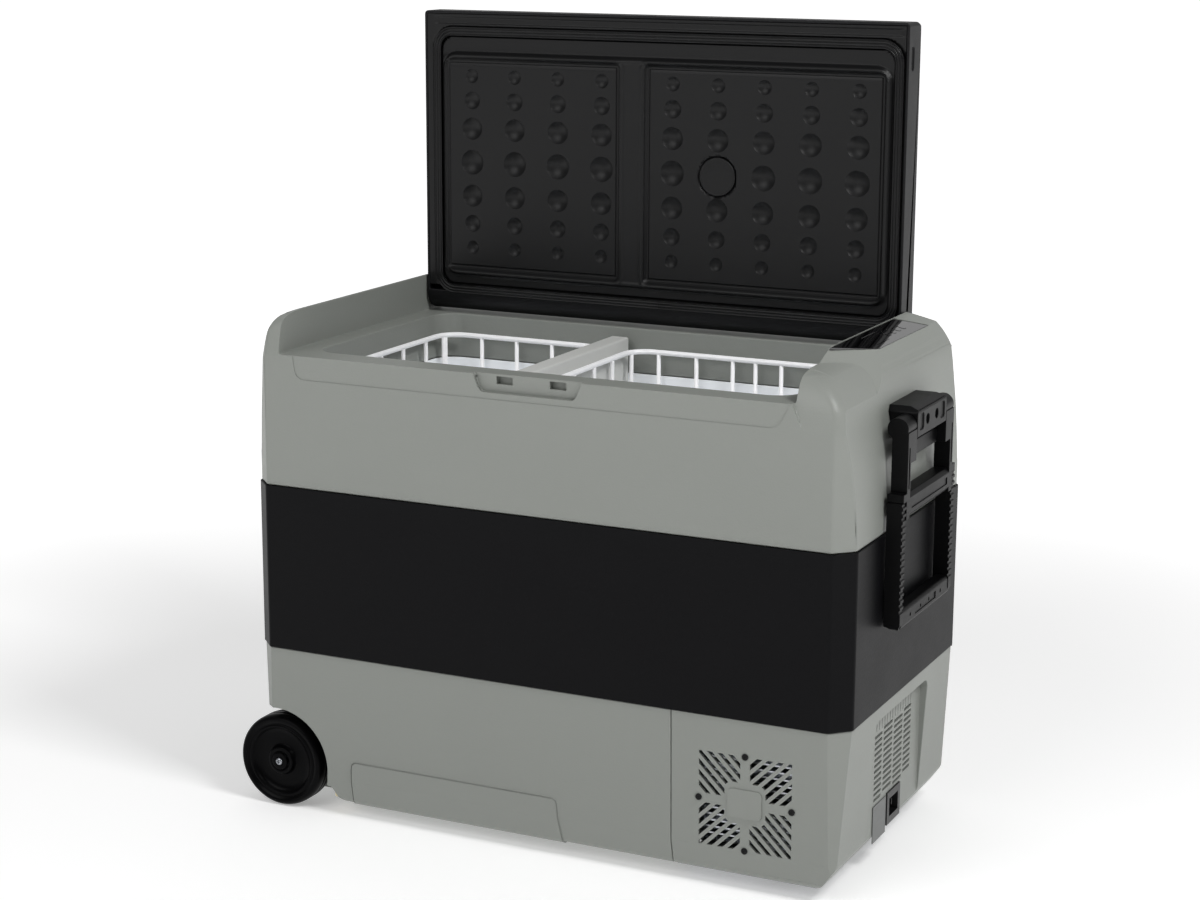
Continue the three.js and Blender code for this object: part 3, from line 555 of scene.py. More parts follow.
def lower_side(inset):
    y = [160.5 - inset, 157.5 - inset, 151 - inset]
    corners = [(y[0], 180), (y[0], 167), (y[1], 40), (y[2], FLOOR_EDGE + inset),
               (-y[2], FLOOR_EDGE + inset), (-y[1], 40), (-y[0], 167), (-y[0], 180)]
    return rounded(corners, [0, 0, 20, 8, 8, 20, 0, 0])


print("plan outline has", len(plan(0)), "points")

# %% [markdown]
# ## How the upper shell ends at the top
# Seen from the side, the shell stops at a flat rim under the lid, but a wing stands up at the
# wheel end and a tower at the handle end. Their front corners roll over like a pillow. A roll
# like that is easiest to say as a height for every place on the plan. So a block of air is
# built whose underside is that height, and it is cut away from the shell. A wedge taken out of
# the tower's air leaves the flat facet that leads down from the control panel's front end.

# %% Heights of the wing and the tower
ROLL = [(-3, 424), (0, 438), (4.6, 457), (10, 470), (17, 480), (25, 486), (37, 490.5), (58, 493.4),
        (400, 500)]
WING_ROLL = [(-3, 440), (0, 458), (3.8, 480), (7.5, 489.5), (14, 495.5), (24, 498.6), (44, 500.8),
             (400, 520)]
SHOULDER = [(240, 496), (254.5, 490.6), (264, 486.6), (274.5, 480.5), (285, 471), (294.7, 457.5),
            (300, 443), (304, 420), (309, 360)]
TOWER_BLEND = 14
WING_BLEND = 8
LID_SPACE = (-275, 253)
FACET_FRONT = -100
FACET_NORMAL = (0.70, -0.26, 0.667)
FACET_REACH = 527.9
AIR_TOP = 560


def lowest(a, b, blend):
    """The lower of two surfaces, with a fillet where they meet."""
    share = np.clip(0.5 + 0.5 * (b - a) / blend, 0, 1)
    return b + (a - b) * share - blend * share * (1 - share)


def smooth_table(points, at):
    line = np.array(curve_through(points, 8))
    return np.interp(at, line[:, 0], line[:, 1])


def corner_distance(x, y):
    """How far a place lies inside the slanted front corner."""
    reach = HALF_LENGTH + HALF_DEPTH - 2 * SHELL_INSET - CORNER_CUT
    return (reach - np.abs(x) + y) / math.sqrt(2)


def tower_height(x, y):
    """The rolled front and corner meet the shoulder; next to the lid it stays above the rim."""
    front = smooth_table(ROLL, HALF_DEPTH - SHELL_INSET + y)
    roll = lowest(front, smooth_table(ROLL, corner_distance(x, y)), TOWER_BLEND)
    beside_rim = RIM + 2 - 30 * np.clip((x - LID_SPACE[1] + 3) / 14, 0, 1)
    return np.maximum(lowest(roll, smooth_table(SHOULDER, x), TOWER_BLEND), beside_rim)


def facet_wedge():
    """What stays under the flat facet that leads down from the panel's front end."""
    near, far, low = 230, 330, 380

    def top(x, y):
        return (FACET_REACH - FACET_NORMAL[0] * x - FACET_NORMAL[1] * y) / FACET_NORMAL[2]

    return loft("facet", [[(near, y, low), (far, y, low), (far, y, top(far, y)), (near, y, top(near, y))]
                          for y in (FACET_FRONT, 40)])


def wing_height(x, y):
    front = smooth_table(WING_ROLL, HALF_DEPTH - SHELL_INSET + y)
    return lowest(front, smooth_table(WING_ROLL, corner_distance(x, y)), WING_BLEND)


def air_above(height, x, y, pitch=1.25):
    """A block whose underside follows a height, for cutting a rolled top."""
    xs = np.arange(x[0], x[1] + pitch, pitch)
    ys = np.arange(y[0], y[1] + pitch, pitch)
    grid_x, grid_y = np.meshgrid(xs, ys, indexing="ij")
    low = height(grid_x, grid_y)
    rings = []
    for i in range(len(xs)):
        under = [(xs[i], ys[j], low[i, j]) for j in range(len(ys))]
        rings.append([*under, (xs[i], ys[-1], AIR_TOP), (xs[i], ys[0], AIR_TOP)])
    return loft("air", rings)


tower_top = float(tower_height(np.array(262.0), np.array(-100.0)))
print("tower is", round(tower_top), "mm high in front of the panel")

# %% [markdown]
# ## The upper shell
# One grey moulding: walls, rim, the wing, the tower and a grey collar that runs a little way
# down into the tub. The shallow pocket in the middle of the front lets two fingers under the
# lid, and the lid's catches enter the two sockets in it. The glossy control panel sits in a
# recess on top of the tower.

# %% The tub's opening and the control panel's place
TUB_X = (-254, 240)
TUB_Y = (-130, 126)
TUB_CORNER = 25
COLLAR_LOW = 415
PANEL_INNER = Vector((254.8, 0, 498.1))
PANEL_OUTER = Vector((280.5, 0, 489.6))
PANEL_FRONT = (-78, -19.5)
PANEL_REAR = (96, 124)
PANEL_DOWN = (PANEL_OUTER - PANEL_INNER).normalized()
PANEL_UP = Vector((-PANEL_DOWN.z, 0, PANEL_DOWN.x))


def panel_point(across, y, up):
    """A place on the panel: across goes from 0 at its inner edge to 1 at its outer edge."""
    return PANEL_INNER.lerp(PANEL_OUTER, across) + Vector((0, y, 0)) + PANEL_UP * up


def panel_block(low, high, grow=0.0, outer_trim=0.0):
    share = grow / (PANEL_OUTER - PANEL_INNER).length
    corners = [(-share, PANEL_FRONT[0] - grow), (1 + share - outer_trim, PANEL_FRONT[1] - grow),
               (1 + share - outer_trim, PANEL_REAR[1] + grow), (-share, PANEL_REAR[0] + grow)]
    rings = [[panel_point(a, y, up) for a, y in corners] for up in (low, high)]
    return loft("panel block", rings)


print("panel leans", round(math.degrees(math.atan2(PANEL_UP.x, PANEL_UP.z))), "degrees")


# %% Cut the upper shell out of its blocks
def grow_rect(u, v, by):
    return (u[0] - by, u[1] + by), (v[0] - by, v[1] + by)


def key_well(low, high, radius, y):
    across = (PANEL_OUTER - PANEL_INNER) / 2 + PANEL_INNER
    centre = Vector((across.x, y, across.z))
    side = Vector((0, 1, 0))
    circle = arc(0, 0, radius, 0, 348.75, 31)
    rings = [[centre + PANEL_DOWN * u + side * v + PANEL_UP * up for u, v in circle] for up in (low, high)]
    return loft("well", rings)


def key_place(name):
    return middle(name).y


KEYS = ["key_power", "key_set", "key_up", "key_down"]


def upper_shell():
    shell = prism("upper shell", plan(SHELL_INSET), "z", BAND_HIGH + SEAM_GAP, 501)
    shape(shell, "INTERSECT", [prism("ends", upper_front(0), "y", *ACROSS)])
    shape(shell, "INTERSECT", [prism("side", upper_side(0), "x", *ALONG)])
    inside = prism("inside", plan(SHELL_INSET + WALL), "z", BAND_HIGH - 10, RIM - WALL)
    shape(inside, "INTERSECT", [prism("ends", upper_front(WALL), "y", *ACROSS)])
    around = rounded_rect(*grow_rect(TUB_X, TUB_Y, WALL), TUB_CORNER + WALL)
    collar = prism("collar", around, "z", COLLAR_LOW, RIM)
    solid_shoulder = box((LID_SPACE[1] - 6, 320), (-170, 20), (408, RIM))
    solid_wing = box((-320, LID_SPACE[0] + 6), (-170, -90), (430, RIM))
    latch_block = box((-72, 56), (-156, -146), (438, RIM))
    shape(inside, "DIFFERENCE", [collar, latch_block, solid_shoulder, solid_wing])
    tools = [inside,
             box(LID_SPACE, ACROSS, (RIM, 520)),
             prism("opening", rounded_rect(TUB_X, TUB_Y, TUB_CORNER, 12), "z", 300, 520)]
    settle(edge_radius(shape(shell, "DIFFERENCE", tools), 1.5))
    over_tower = air_above(tower_height, (LID_SPACE[1] - 3, 312), (-164, -8))
    shape(over_tower, "DIFFERENCE", [facet_wedge()])
    over_wing = air_above(wing_height, (-312, LID_SPACE[0] + 3), (-164, 8))
    return shape(shell, "DIFFERENCE", [over_tower, over_wing])


shell = upper_shell()
print("upper shell block:", len(shell.data.polygons), "faces")

# %% Pocket, catch sockets, lip line and panel recess
HINGE_HOLE = 3.3
POCKET_X = (-66, 50)
POCKET_Z = (444, 470)
SOCKETS_X = [(-42, -25), (13, 30)]
SOCKET_Z = (451.6, 459)
LIP_DEPTH = 0.7
LIP_LINE = 438


def front_details():
    pocket = rounded([(POCKET_X[0] - 2, POCKET_Z[1]), (POCKET_X[0] + 9, POCKET_Z[0]),
                      (POCKET_X[1] - 9, POCKET_Z[0]), (POCKET_X[1] + 2, POCKET_Z[1])], [0, 7, 7, 0])
    tools = [prism("pocket", pocket, "y", -170, -154)]
    tools += [box(x, (-160, -147.5), SOCKET_Z) for x in SOCKETS_X]
    lip = rounded([(-262, 480), (-256, LIP_LINE), (240, LIP_LINE), (257, 480)], [0, 10, 16, 0])
    tools.append(prism("lip", lip, "y", -170, -HALF_DEPTH + SHELL_INSET + LIP_DEPTH))
    return tools


shape(shell, "DIFFERENCE", front_details())
shape(shell, "DIFFERENCE", [panel_block(-3.3, 6, 0.35)])
shape(shell, "DIFFERENCE", [key_well(-6, 4, 4.9, key_place(name)) for name in KEYS])
for end in (-1, 1):
    pin = span("hinge_pin_left" if end < 0 else "hinge_pin_right")
    place = pin[0].lerp(pin[1], 0.5).yz
    shape(shell, "DIFFERENCE", [rod("x", HINGE_HOLE, place, pin[0].x - 0.5, pin[1].x + 0.5)])
crisp(soften(shell, 0), 22)
finish(shell, "upper_shell_fine", "cabinet", "grey_shell", grey_shell, "upper_shell")

# %% [markdown]
# ## The middle band
# A plain black sleeve between the two grey shells. It stands 1.5 mm proud of them, and that
# small step throws the thin shadow line which separates black from grey.

# %% The band
band = prism("band", plan(0), "z", BAND_LOW, BAND_HIGH)
shape(band, "DIFFERENCE", [prism("inside", plan(WALL), "z", BAND_LOW - 5, BAND_HIGH + 5)])
finish(soften(band, 1.0), "middle_band_fine", "cabinet", "black_satin", black_band, "middle_band")

# %% [markdown]
# ## The lower shell and the bay cover
# The lower moulding has arches for the wheels and a shallow skirt along its foot. At the
# handle end it stops at a seam, and a separate cover closes the compressor bay. Warm air
# leaves through a grille whose slots all point at a square boss, and cool air enters through
# rows of short slots in the end wall.

# %% Lower block and wheel arches
WHEEL = middle("wheel_front")
WHEEL_RADIUS = (span("wheel_front")[1].z - span("wheel_front")[0].z) / 2
WHEEL_INNER = abs(span("wheel_front")[1].y)
ARCH = 56
BAY_SEAM = 140
COVER_WALL = 299


def lower_block(inset, top):
    block = prism("lower", plan(SHELL_INSET + inset), "z", 5, top)
    shape(block, "INTERSECT", [prism("ends", lower_front(inset), "y", *ACROSS)])
    return shape(block, "INTERSECT", [prism("side", lower_side(inset), "x", *ALONG)])


def arch_block(side, extra):
    """The room for one wheel: round above the axle, flaring out at its foot."""
    radius = ARCH + extra
    foot = [(WHEEL.x + radius + 18, -10), (WHEEL.x + radius + 18, FLOOR_EDGE - 2)]
    flare = [(WHEEL.x + radius + 9, FLOOR_EDGE + 4), (WHEEL.x + radius + 2.5, FLOOR_EDGE + 15)]
    over = arc(WHEEL.x, WHEEL.z, radius, -18, 125, 30)
    outline = foot + flare + over + [(-330, WHEEL.z + radius * 0.62), (-330, -10)]
    inner = WHEEL_INNER - 4 - extra
    low, high = (-175, -inner) if side < 0 else (inner, 175)
    return prism("arch", outline, "y", low, high)


def lower_shell():
    outer = lower_block(0, BAND_LOW - SEAM_GAP)
    skirt = lower_block(-0.9, 62)
    outline = rounded([(-205, 5), (27, 5), (22, 60), (-203, 60)], [0, 0, 6, 6])
    shape(skirt, "INTERSECT", [prism("skirt", outline, "y", *ACROSS)])
    shape(outer, "UNION", [skirt])
    shape(outer, "INTERSECT", [box((-330, BAY_SEAM - SEAM_GAP), ACROSS, (0, 200))])
    hollow = lower_block(WALL, BAND_LOW + 10)
    shape(hollow, "DIFFERENCE", [arch_block(-1, WALL), arch_block(1, WALL),
                                 box((BAY_SEAM - WALL, 330), ACROSS, (0, 200))])
    axle = rod("y", 5.4, (WHEEL.x, WHEEL.z), -170, 170)
    return shape(outer, "DIFFERENCE", [hollow, arch_block(-1, 0), arch_block(1, 0), axle])


finish(soften(lower_shell(), 1.2), "lower_shell_fine", "cabinet", "grey_shell", grey_shell, "lower_shell")

# %% Grille slots
GRILLE = Vector((213.3, 0, 86.8))
GRILLE_HALF = 45.5
BOSS_HALF = 17.5
QUARTER_GAP = 4.6
SLOT_PITCH = 7.4
SLOT_WIDTH = 3.7


def grille_tools():
    """Seven slanted slots in each quarter, trimmed to the square and kept off the boss."""
    tools = []
    near = BOSS_HALF + 2.4
    corner = [(QUARTER_GAP, near), (BOSS_HALF - 2, near), (near, BOSS_HALF - 2), (near, QUARTER_GAP),
              (GRILLE_HALF, QUARTER_GAP), (GRILLE_HALF, GRILLE_HALF), (QUARTER_GAP, GRILLE_HALF)]
    slant = Matrix.Rotation(math.pi / 4, 2)
    for turn in range(4):
        spin = Matrix.Rotation(turn * math.pi / 2, 2)
        for i in range(-3, 4):
            offset = i * SLOT_PITCH
            stripe = [(0, offset - SLOT_WIDTH / 2), (90, offset - SLOT_WIDTH / 2),
                      (90, offset + SLOT_WIDTH / 2), (0, offset + SLOT_WIDTH / 2)]
            slanted = [tuple(spin @ slant @ Vector(p) + GRILLE.xz) for p in stripe]
            quarter = [tuple(spin @ Vector(p) + GRILLE.xz) for p in corner]
            slot = prism("slot", slanted, "y", -170, -140)
            tools.append(shape(slot, "INTERSECT", [prism("quarter", quarter, "y", -175, -135)]))
    return tools


def boss():
    """The square boss in the grille stands slightly proud, with rounded corners."""
    outline = rounded_rect((GRILLE.x - 16.7, GRILLE.x + 16.7), (GRILLE.z - 13.8, GRILLE.z + 13.8), 5)
    return prism("boss", outline, "y", -159.9, -150)


# %% Vents, hatching and the recess in the end wall
VENT_ROWS = 12
VENT_LOW = 66
VENT_PITCH = 5.6
VENT_HEIGHT = 3
VENT_COLUMNS = [(-52, -31), (-27, -2), (2, 27), (31, 52)]
HATCH_PITCH = 7.5


def vent_tools():
    tools = []
    for row in range(VENT_ROWS):
        for i, (front, rear) in enumerate(VENT_COLUMNS):
            z = VENT_LOW + (row + (i % 2) / 2) * VENT_PITCH
            slot = rounded_rect((front, rear), (z, z + VENT_HEIGHT), 1.4, 4)
            tools.append(prism("vent", slot, "x", COVER_WALL - 12, COVER_WALL + 9))
    return tools


def hatch_tools():
    """Fine upright grooves above the vents."""
    return [box((COVER_WALL - 0.6, COVER_WALL + 3), (y, y + 1.2), (134, 150))
            for y in np.arange(-48, 52, HATCH_PITCH)]


def bay_cover():
    cover = lower_block(0, BAND_LOW - SEAM_GAP)
    shape(cover, "INTERSECT", [box((BAY_SEAM + SEAM_GAP, 330), ACROSS, (0, 200))])
    arch = rounded([(-76, 0), (76, 0), (76, 152), (-76, 152)], [0, 0, 10, 10])
    recess = prism("recess", arch, "x", COVER_WALL, 330)
    settle(edge_radius(shape(cover, "DIFFERENCE", [recess]), 0.8))
    hollow = lower_block(WALL, BAND_LOW + 10)
    recess_wall = box((COVER_WALL - WALL, 330), (-76 - WALL, 76 + WALL), (0, 200))
    shape(hollow, "DIFFERENCE", [recess_wall])
    shape(hollow, "UNION", [box((100, 281), (-147, 147), (5, 40))])
    shape(cover, "DIFFERENCE", [hollow, box((100, 145), ACROSS, (5, 12))])
    shape(cover, "UNION", [boss()])
    socket = span("dc_socket")
    hole = box((280, 320), (socket[0].y - 0.3, socket[1].y + 0.3), (socket[0].z - 0.3, socket[1].z + 0.3))
    rear_slots = [prism("slot", rounded_rect((x, x + 5), (50, 120), 2.4, 4), "y", 150, 170)
                  for x in range(170, 265, 11)]
    heads = [(middle(f"grille_screw_{i}").xz, span(f"grille_screw_{i}")[0].y) for i in range(1, 5)]
    screws = [rod("y", 2.2, place, -170, -150) for place, _ in heads]
    sinks = [rod("y", 3.9, place, -170, face + 1.6) for place, face in heads]
    openings = [*vent_tools(), *hatch_tools(), *grille_tools()]
    return shape(cover, "DIFFERENCE", [hole, *rear_slots, *screws, *sinks, *openings])


finish(crisp(soften(bay_cover(), 0), 30), "compressor_bay_cover_fine", "cabinet", "grey_shell", grey_shell,
       "compressor_bay_cover")

# %% [markdown]
# ## The white tub
# Below the grey collar the tub is a vacuum-formed white box with large soft corners. Its floor
# steps up over the wheel wells and again over the compressor.

# %% The tub liner
TUB_FLOOR = span("tub_liner")[0].z
TUB_LEDGE = (-223, 112)
TUB_STEP = (133, 190)
LINER_WALL = 2.5


def tub_block(inset, top):
    y = (TUB_Y[0] + inset, TUB_Y[1] - inset)
    radius = TUB_CORNER - max(inset, 0) * 0.5
    levels = [(TUB_LEDGE[0], TUB_STEP[0], TUB_FLOOR + 0.5), (TUB_X[0], TUB_STEP[0], TUB_LEDGE[1]),
              (TUB_X[0], TUB_X[1], TUB_STEP[1])]
    blocks = [prism("level", rounded_rect((left + inset, right - inset), y, radius, 12), "z",
                    low + inset, top) for left, right, low in levels]
    return shape(blocks[0], "UNION", blocks[1:])


tub = tub_block(-0.5, COLLAR_LOW - 0.3)
shape(tub, "DIFFERENCE", [tub_block(LINER_WALL - 0.5, COLLAR_LOW + 10)])
# The liner's finish carries a painted glow that brightens the tub's inside.
finish(soften(tub, 1.0), "tub_liner_fine", "cabinet", "white_liner", white_liner, "tub_liner")

# %% [markdown]
# ## The lid
# The lid stands open, so its lining faces the viewer. The cover behind it is a plain black
# tray whose lower edge curls into the hinge barrel. A recessed border breaks up its wide outer
# face.

# %% The lid cover
LID = span("lid_shell")
HINGE = Vector((0, middle("hinge_pin_left").y, middle("hinge_pin_left").z))
BARREL = HINGE.z - LID[0].z
LID_OUT = HINGE.y + BARREL


def lid_profile(inset, front):
    r = BARREL - inset
    if inset:
        low = [(front, HINGE.z + 4), (HINGE.y + r, HINGE.z + 4)]
    else:
        low = arc(HINGE.y, HINGE.z, r, 180, 360, 24)
    top = arc(HINGE.y + r - 8, LID[1].z - inset - 8, 8, 0, 90, 8)
    return low + top + [(front, LID[1].z - inset)]


def lid_face(side, foot, radius):
    """The lid's outline, drawn in by side at the top and ends, and by foot at the hinge."""
    return rounded_rect((LID[0].x + side, LID[1].x - side), (LID[0].z + foot, LID[1].z - side), radius)


def lid_cover():
    cover = prism("cover", lid_profile(0, LID[0].y), "x", LID[0].x, LID[1].x)
    shape(cover, "INTERSECT", [prism("face", lid_face(0, 0, 4), "y", 100, 180)])
    tray = prism("tray", lid_profile(WALL, 90), "x", LID[0].x + WALL, LID[1].x - WALL)
    border = prism("border", lid_face(26, 44, 16), "y", LID_OUT - 1.2, LID_OUT + 5)
    shape(border, "DIFFERENCE", [prism("island", lid_face(36, 54, 12), "y", LID_OUT - 3, LID_OUT + 8)])
    shape(cover, "DIFFERENCE", [tray, border])
    ends = [(LID[0].x + 1, LID[0].x + 15), (LID[1].x - 15, LID[1].x - 1)]
    shape(cover, "UNION", [rod("x", 8, HINGE.yz, *reach) for reach in ends])
    slot = rounded_rect((134, 141), (730, 752), 3)
    tools = [rod("x", HINGE_HOLE, HINGE.yz, LID[0].x - 2, -262),
             rod("x", HINGE_HOLE, HINGE.yz, 241, LID[1].x + 2),
             prism("side slot", slot, "x", LID[1].x - 1.2, LID[1].x + 3)]
    return shape(cover, "DIFFERENCE", tools)


cover = soften(in_triangles(lid_cover()), 1.2)
finish(cover, "lid_shell_fine", "lid", "black_satin", cover_black, "lid_shell")

# %% [markdown]
# ## The dimpled lining
# The lining is one vacuum-formed sheet: a raised plug that drops into the tub, two sunken
# panels with a moat round each, and rows of dimples that stiffen them. Sculpting that by hand
# would be slow and uneven. The sheet is a height for every place on the lid, so the mesh is a
# fine grid pushed to that height, with a flat back and sides to close it. The dimples are caps
# of balls, cut into the sheet afterwards, which keeps their rims round.

# %% Distance to a rounded rectangle
PLUG_X = (-251.5, 237.5)
PLUG_Z = (501, 735)
PLUG_FACE = span("lid_liner")[0].y
LINING_BASE = 126
PANELS_X = [(-248.5, -47.5), (-21.5, 232.5)]
PANEL_Z = (508, 728)
DISC = middle("lid_fill_plug")
DISC_RADIUS = (span("lid_fill_plug")[1].x - span("lid_fill_plug")[0].x) / 2


def outside_by(u, v, u_range, v_range, radius):
    """Distance to a rounded rectangle: negative inside it."""
    du = np.abs(u - sum(u_range) / 2) - (u_range[1] - u_range[0]) / 2 + radius
    dv = np.abs(v - sum(v_range) / 2) - (v_range[1] - v_range[0]) / 2 + radius
    far = np.hypot(np.maximum(du, 0), np.maximum(dv, 0))
    return far + np.minimum(np.maximum(du, dv), 0) - radius


def ramp(value, low, high):
    t = np.clip((value - low) / (high - low), 0, 1)
    return t * t * (3 - 2 * t)


def groove(distance, middle_line, width):
    return np.exp(-((distance - middle_line) / width) ** 2)


# %% The lining's height
DIMPLE_MIDDLE = 621
DIMPLE_ROWS = [(0, 25.6), (34.6, 23), (-34.6, 23), (63.6, 18.4), (-63.6, 18), (88.4, 14.6), (-88.6, 14)]
DIMPLE_COLUMNS = [(-217, 49.3, 4), (9, 48.8, 5)]
DIMPLE_DEPTH = 0.19
BOWL_PROUD = 0.6
PANEL_SUNK = 2.4


def dimple_places():
    for first, pitch, count in DIMPLE_COLUMNS:
        for i in range(count):
            for rise, width in DIMPLE_ROWS:
                place = (first + i * pitch, DIMPLE_MIDDLE + rise)
                if math.dist(place, DISC.xz) > 12:
                    yield place, width


def lining_height(x, z):
    """How far the sheet stands towards the tub from its base, in millimetres."""
    plug = outside_by(x, z, PLUG_X, PLUG_Z, 18)
    up = (LINING_BASE - PLUG_FACE) * (1 - ramp(plug, -4.5, 0))
    up += 0.7 * groove(plug, -5.5, 1.6)
    for panel_x in PANELS_X:
        edge = outside_by(x, z, panel_x, PANEL_Z, 6)
        up -= PANEL_SUNK * (1 - ramp(edge, -1.7, 0))
        up -= 1.3 * (ramp(edge, -6.2, -4.6) - ramp(edge, -3.4, -1.8))
        up += 0.8 * groove(edge, 2.6, 1.8)
    disc = np.hypot(x - DISC.x, z - DISC.z)
    up -= 2.4 * (1 - ramp(disc, DISC_RADIUS + 0.2, DISC_RADIUS + 1.6))
    up += 0.4 * groove(disc, DISC_RADIUS + 2.8, 1.0)
    seal = outside_by(x, z, (-257.5, 243.5), (487.5, 754.5), 18)
    up -= 1.6 * (1 - ramp(np.abs(seal), 4.6, 6.0))
    strip = np.maximum(np.abs(z - 765.5) - 3.6, np.abs(x + 6.8) - 253)
    up -= 1.1 * (1 - ramp(strip, -1.2, 0.6))
    return up


# %% The lining's mesh
def graded(low, high, edges, coarse=2.0, fine=0.6, reach=8):
    """Grid lines from low to high, closer together on both sides of each edge."""
    lines = [np.arange(low, high, coarse), [high]]
    lines += [np.arange(max(low, edge - reach), min(high, edge + reach), fine) for edge in edges]
    lines = np.unique(np.concatenate(lines))
    return lines[np.append(np.diff(lines) > fine * 0.6, True)]


def relief(name, xs, zs, height, base, back):
    """A grid over x and z, raised towards -Y from base by its height, with a flat back."""
    grid_x, grid_z = np.meshgrid(xs, zs, indexing="ij")
    y = base - height(grid_x, grid_z)
    rows, columns = grid_x.shape
    points = np.stack([grid_x, y, grid_z], -1).reshape(-1, 3).tolist()
    index = np.arange(rows * columns).reshape(rows, columns)
    corners = [index[:-1, :-1], index[:-1, 1:], index[1:, 1:], index[1:, :-1]]
    quads = np.stack(corners, -1).reshape(-1, 4).tolist()
    rim = [*index[0, :-1], *index[:-1, -1], *index[-1, :0:-1], *index[:0:-1, 0]]
    start = len(points)
    points += [(points[i][0], back, points[i][2]) for i in rim]
    n = len(rim)
    quads += [(int(rim[i]), int(rim[(i + 1) % n]), start + (i + 1) % n, start + i) for i in range(n)]
    quads.append(tuple(range(start, start + n)))
    return new_object(name, points, quads)


def bowls():
    """Round caps of a ball, one for each dimple, as one cutting tool."""
    face = PLUG_FACE + PANEL_SUNK
    tools = []
    for place, width in dimple_places():
        deep = DIMPLE_DEPTH * width
        ball = (width ** 2 / 4 + deep ** 2) / (2 * deep)
        centre = face + deep - ball
        reach = math.acos((face - BOWL_PROUD - centre) / ball)
        profile = [(max(ball * math.sin(a), 0.01), centre + ball * math.cos(a))
                   for a in np.linspace(0, reach, 14)]
        tools.append(turned("bowl", "y", place, [*profile, (0.01, face - BOWL_PROUD)], 48))
    return gather("bowls", tools)


lining_x = graded(LID[0].x + 3.3, LID[1].x - 3.3, [x for panel in PANELS_X for x in panel])
lining_z = graded(490.3, LID[1].z - 3.3, [*PANEL_Z, 765.5], reach=6)
lining = relief("lining", lining_x, lining_z, lining_height, LINING_BASE, LINING_BASE + 3)
shape(lining, "DIFFERENCE", [bowls()])
crisp(soften(lining, 0), 26)
finish(lining, "lid_liner_fine", "lid", "black_satin", lid_black, "lid_liner")

# %% The round plug over the foam filling hole
disc_profile = [(0.01, -2.2), (6, -2.2), (DISC_RADIUS - 3.2, -2.0), (DISC_RADIUS - 2.0, -1.4),
                (DISC_RADIUS - 1.4, -2.1), (DISC_RADIUS - 0.5, -1.9), (DISC_RADIUS, -1.2),
                (DISC_RADIUS, 1.6), (0.01, 1.6)]
disc = turned("disc", "y", DISC.xz, [(r, DISC.y + h) for r, h in disc_profile], 96)
finish(soften(disc, 0), "lid_fill_plug_fine", "lid", "black_satin", lid_black, "lid_fill_plug")

# %% [markdown]
# ## The lid's seal
# A soft ribbed strip runs round the lining and presses on the cabinet's rim. It is a
# cross-section carried round a rounded rectangle. The ribs are what draw the bright parallel
# lines all round the lid, and the strip's two ends meet in a small joint on the hinge side.

# %% A section carried round a flat loop
def swept_ring(name, loop, section):
    """loop is a closed outline in X and Z; section is (outward, y) pairs."""
    count = len(loop)
    rings = []
    for i in range(count):
        before, here, after = (Vector(loop[k % count]) for k in (i - 1, i, i + 1))
        first = (here - before).normalized()
        second = (after - here).normalized()
        outward = Vector((first.y + second.y, -first.x - second.x)).normalized()
        stretch = 1 / max(outward.dot(Vector((first.y, -first.x))), 0.5)
        rings.append([(here.x + outward.x * u * stretch, y, here.y + outward.y * u * stretch)
                      for u, y in section])
    return loft(name, rings, closed_ends=False)


SEAL = span("lid_gasket")
SEAL_WIDTH = 9
seal_line = rounded_rect((SEAL[0].x + SEAL_WIDTH / 2, SEAL[1].x - SEAL_WIDTH / 2),
                         (SEAL[0].z + SEAL_WIDTH / 2, SEAL[1].z - SEAL_WIDTH / 2), 17.5, 14)
LIP = 4.3
RIBS = 3
lip_places = np.linspace(-LIP, LIP, 25)
bulb = [(u, SEAL[0].y + 1.2 - abs(math.sin(u / LIP * math.pi * RIBS / 2)) ** 0.6) for u in lip_places]
seal_section = [(-LIP - 0.1, SEAL[1].y), *bulb, (LIP + 0.1, SEAL[1].y)]
seal = swept_ring("seal", seal_line, seal_section)
JOINT_X = -5
shape(seal, "DIFFERENCE", [box((JOINT_X, JOINT_X + 0.7), (SEAL[0].y - 3, SEAL[0].y + 1.5), (480, 495))])
finish(soften(seal, 0), "lid_gasket_fine", "lid", "rubber", seal_rubber, "lid_gasket")

# %% [markdown]
# ## The wire baskets
# Each basket is bent from round wire and dipped in white plastic. A thick rail runs round the
# top, and thinner wires go down one wall, under the load and up the other, with the floor
# stepping over the tub's own steps. Wires are curves with a round section: a curve carries its
# own bends, so a wire never looks like a folded ribbon.

# %% Wires
WIRE = 2.1
RAIL = 2.7


def wires(name, routes, radius):
    """Each route is (points, closed) in millimetres."""
    curve = bpy.data.curves.new(name, "CURVE")
    curve.dimensions = "3D"
    curve.bevel_depth = radius * MM
    curve.bevel_resolution = 4
    curve.use_fill_caps = True
    for points, closed in routes:
        spline = curve.splines.new("POLY")
        spline.points.add(len(points) - 1)
        for place, point in zip(spline.points, points):
            place.co = (*metres(point), 1)
        spline.use_cyclic_u = closed
    bent = add_object(name, curve)
    mesh = bpy.data.meshes.new_from_object(bent.evaluated_get(bpy.context.evaluated_depsgraph_get()))
    bpy.data.objects.remove(bent)
    piece = add_object(name, mesh)
    clean(piece)
    mesh.shade_smooth()
    return piece


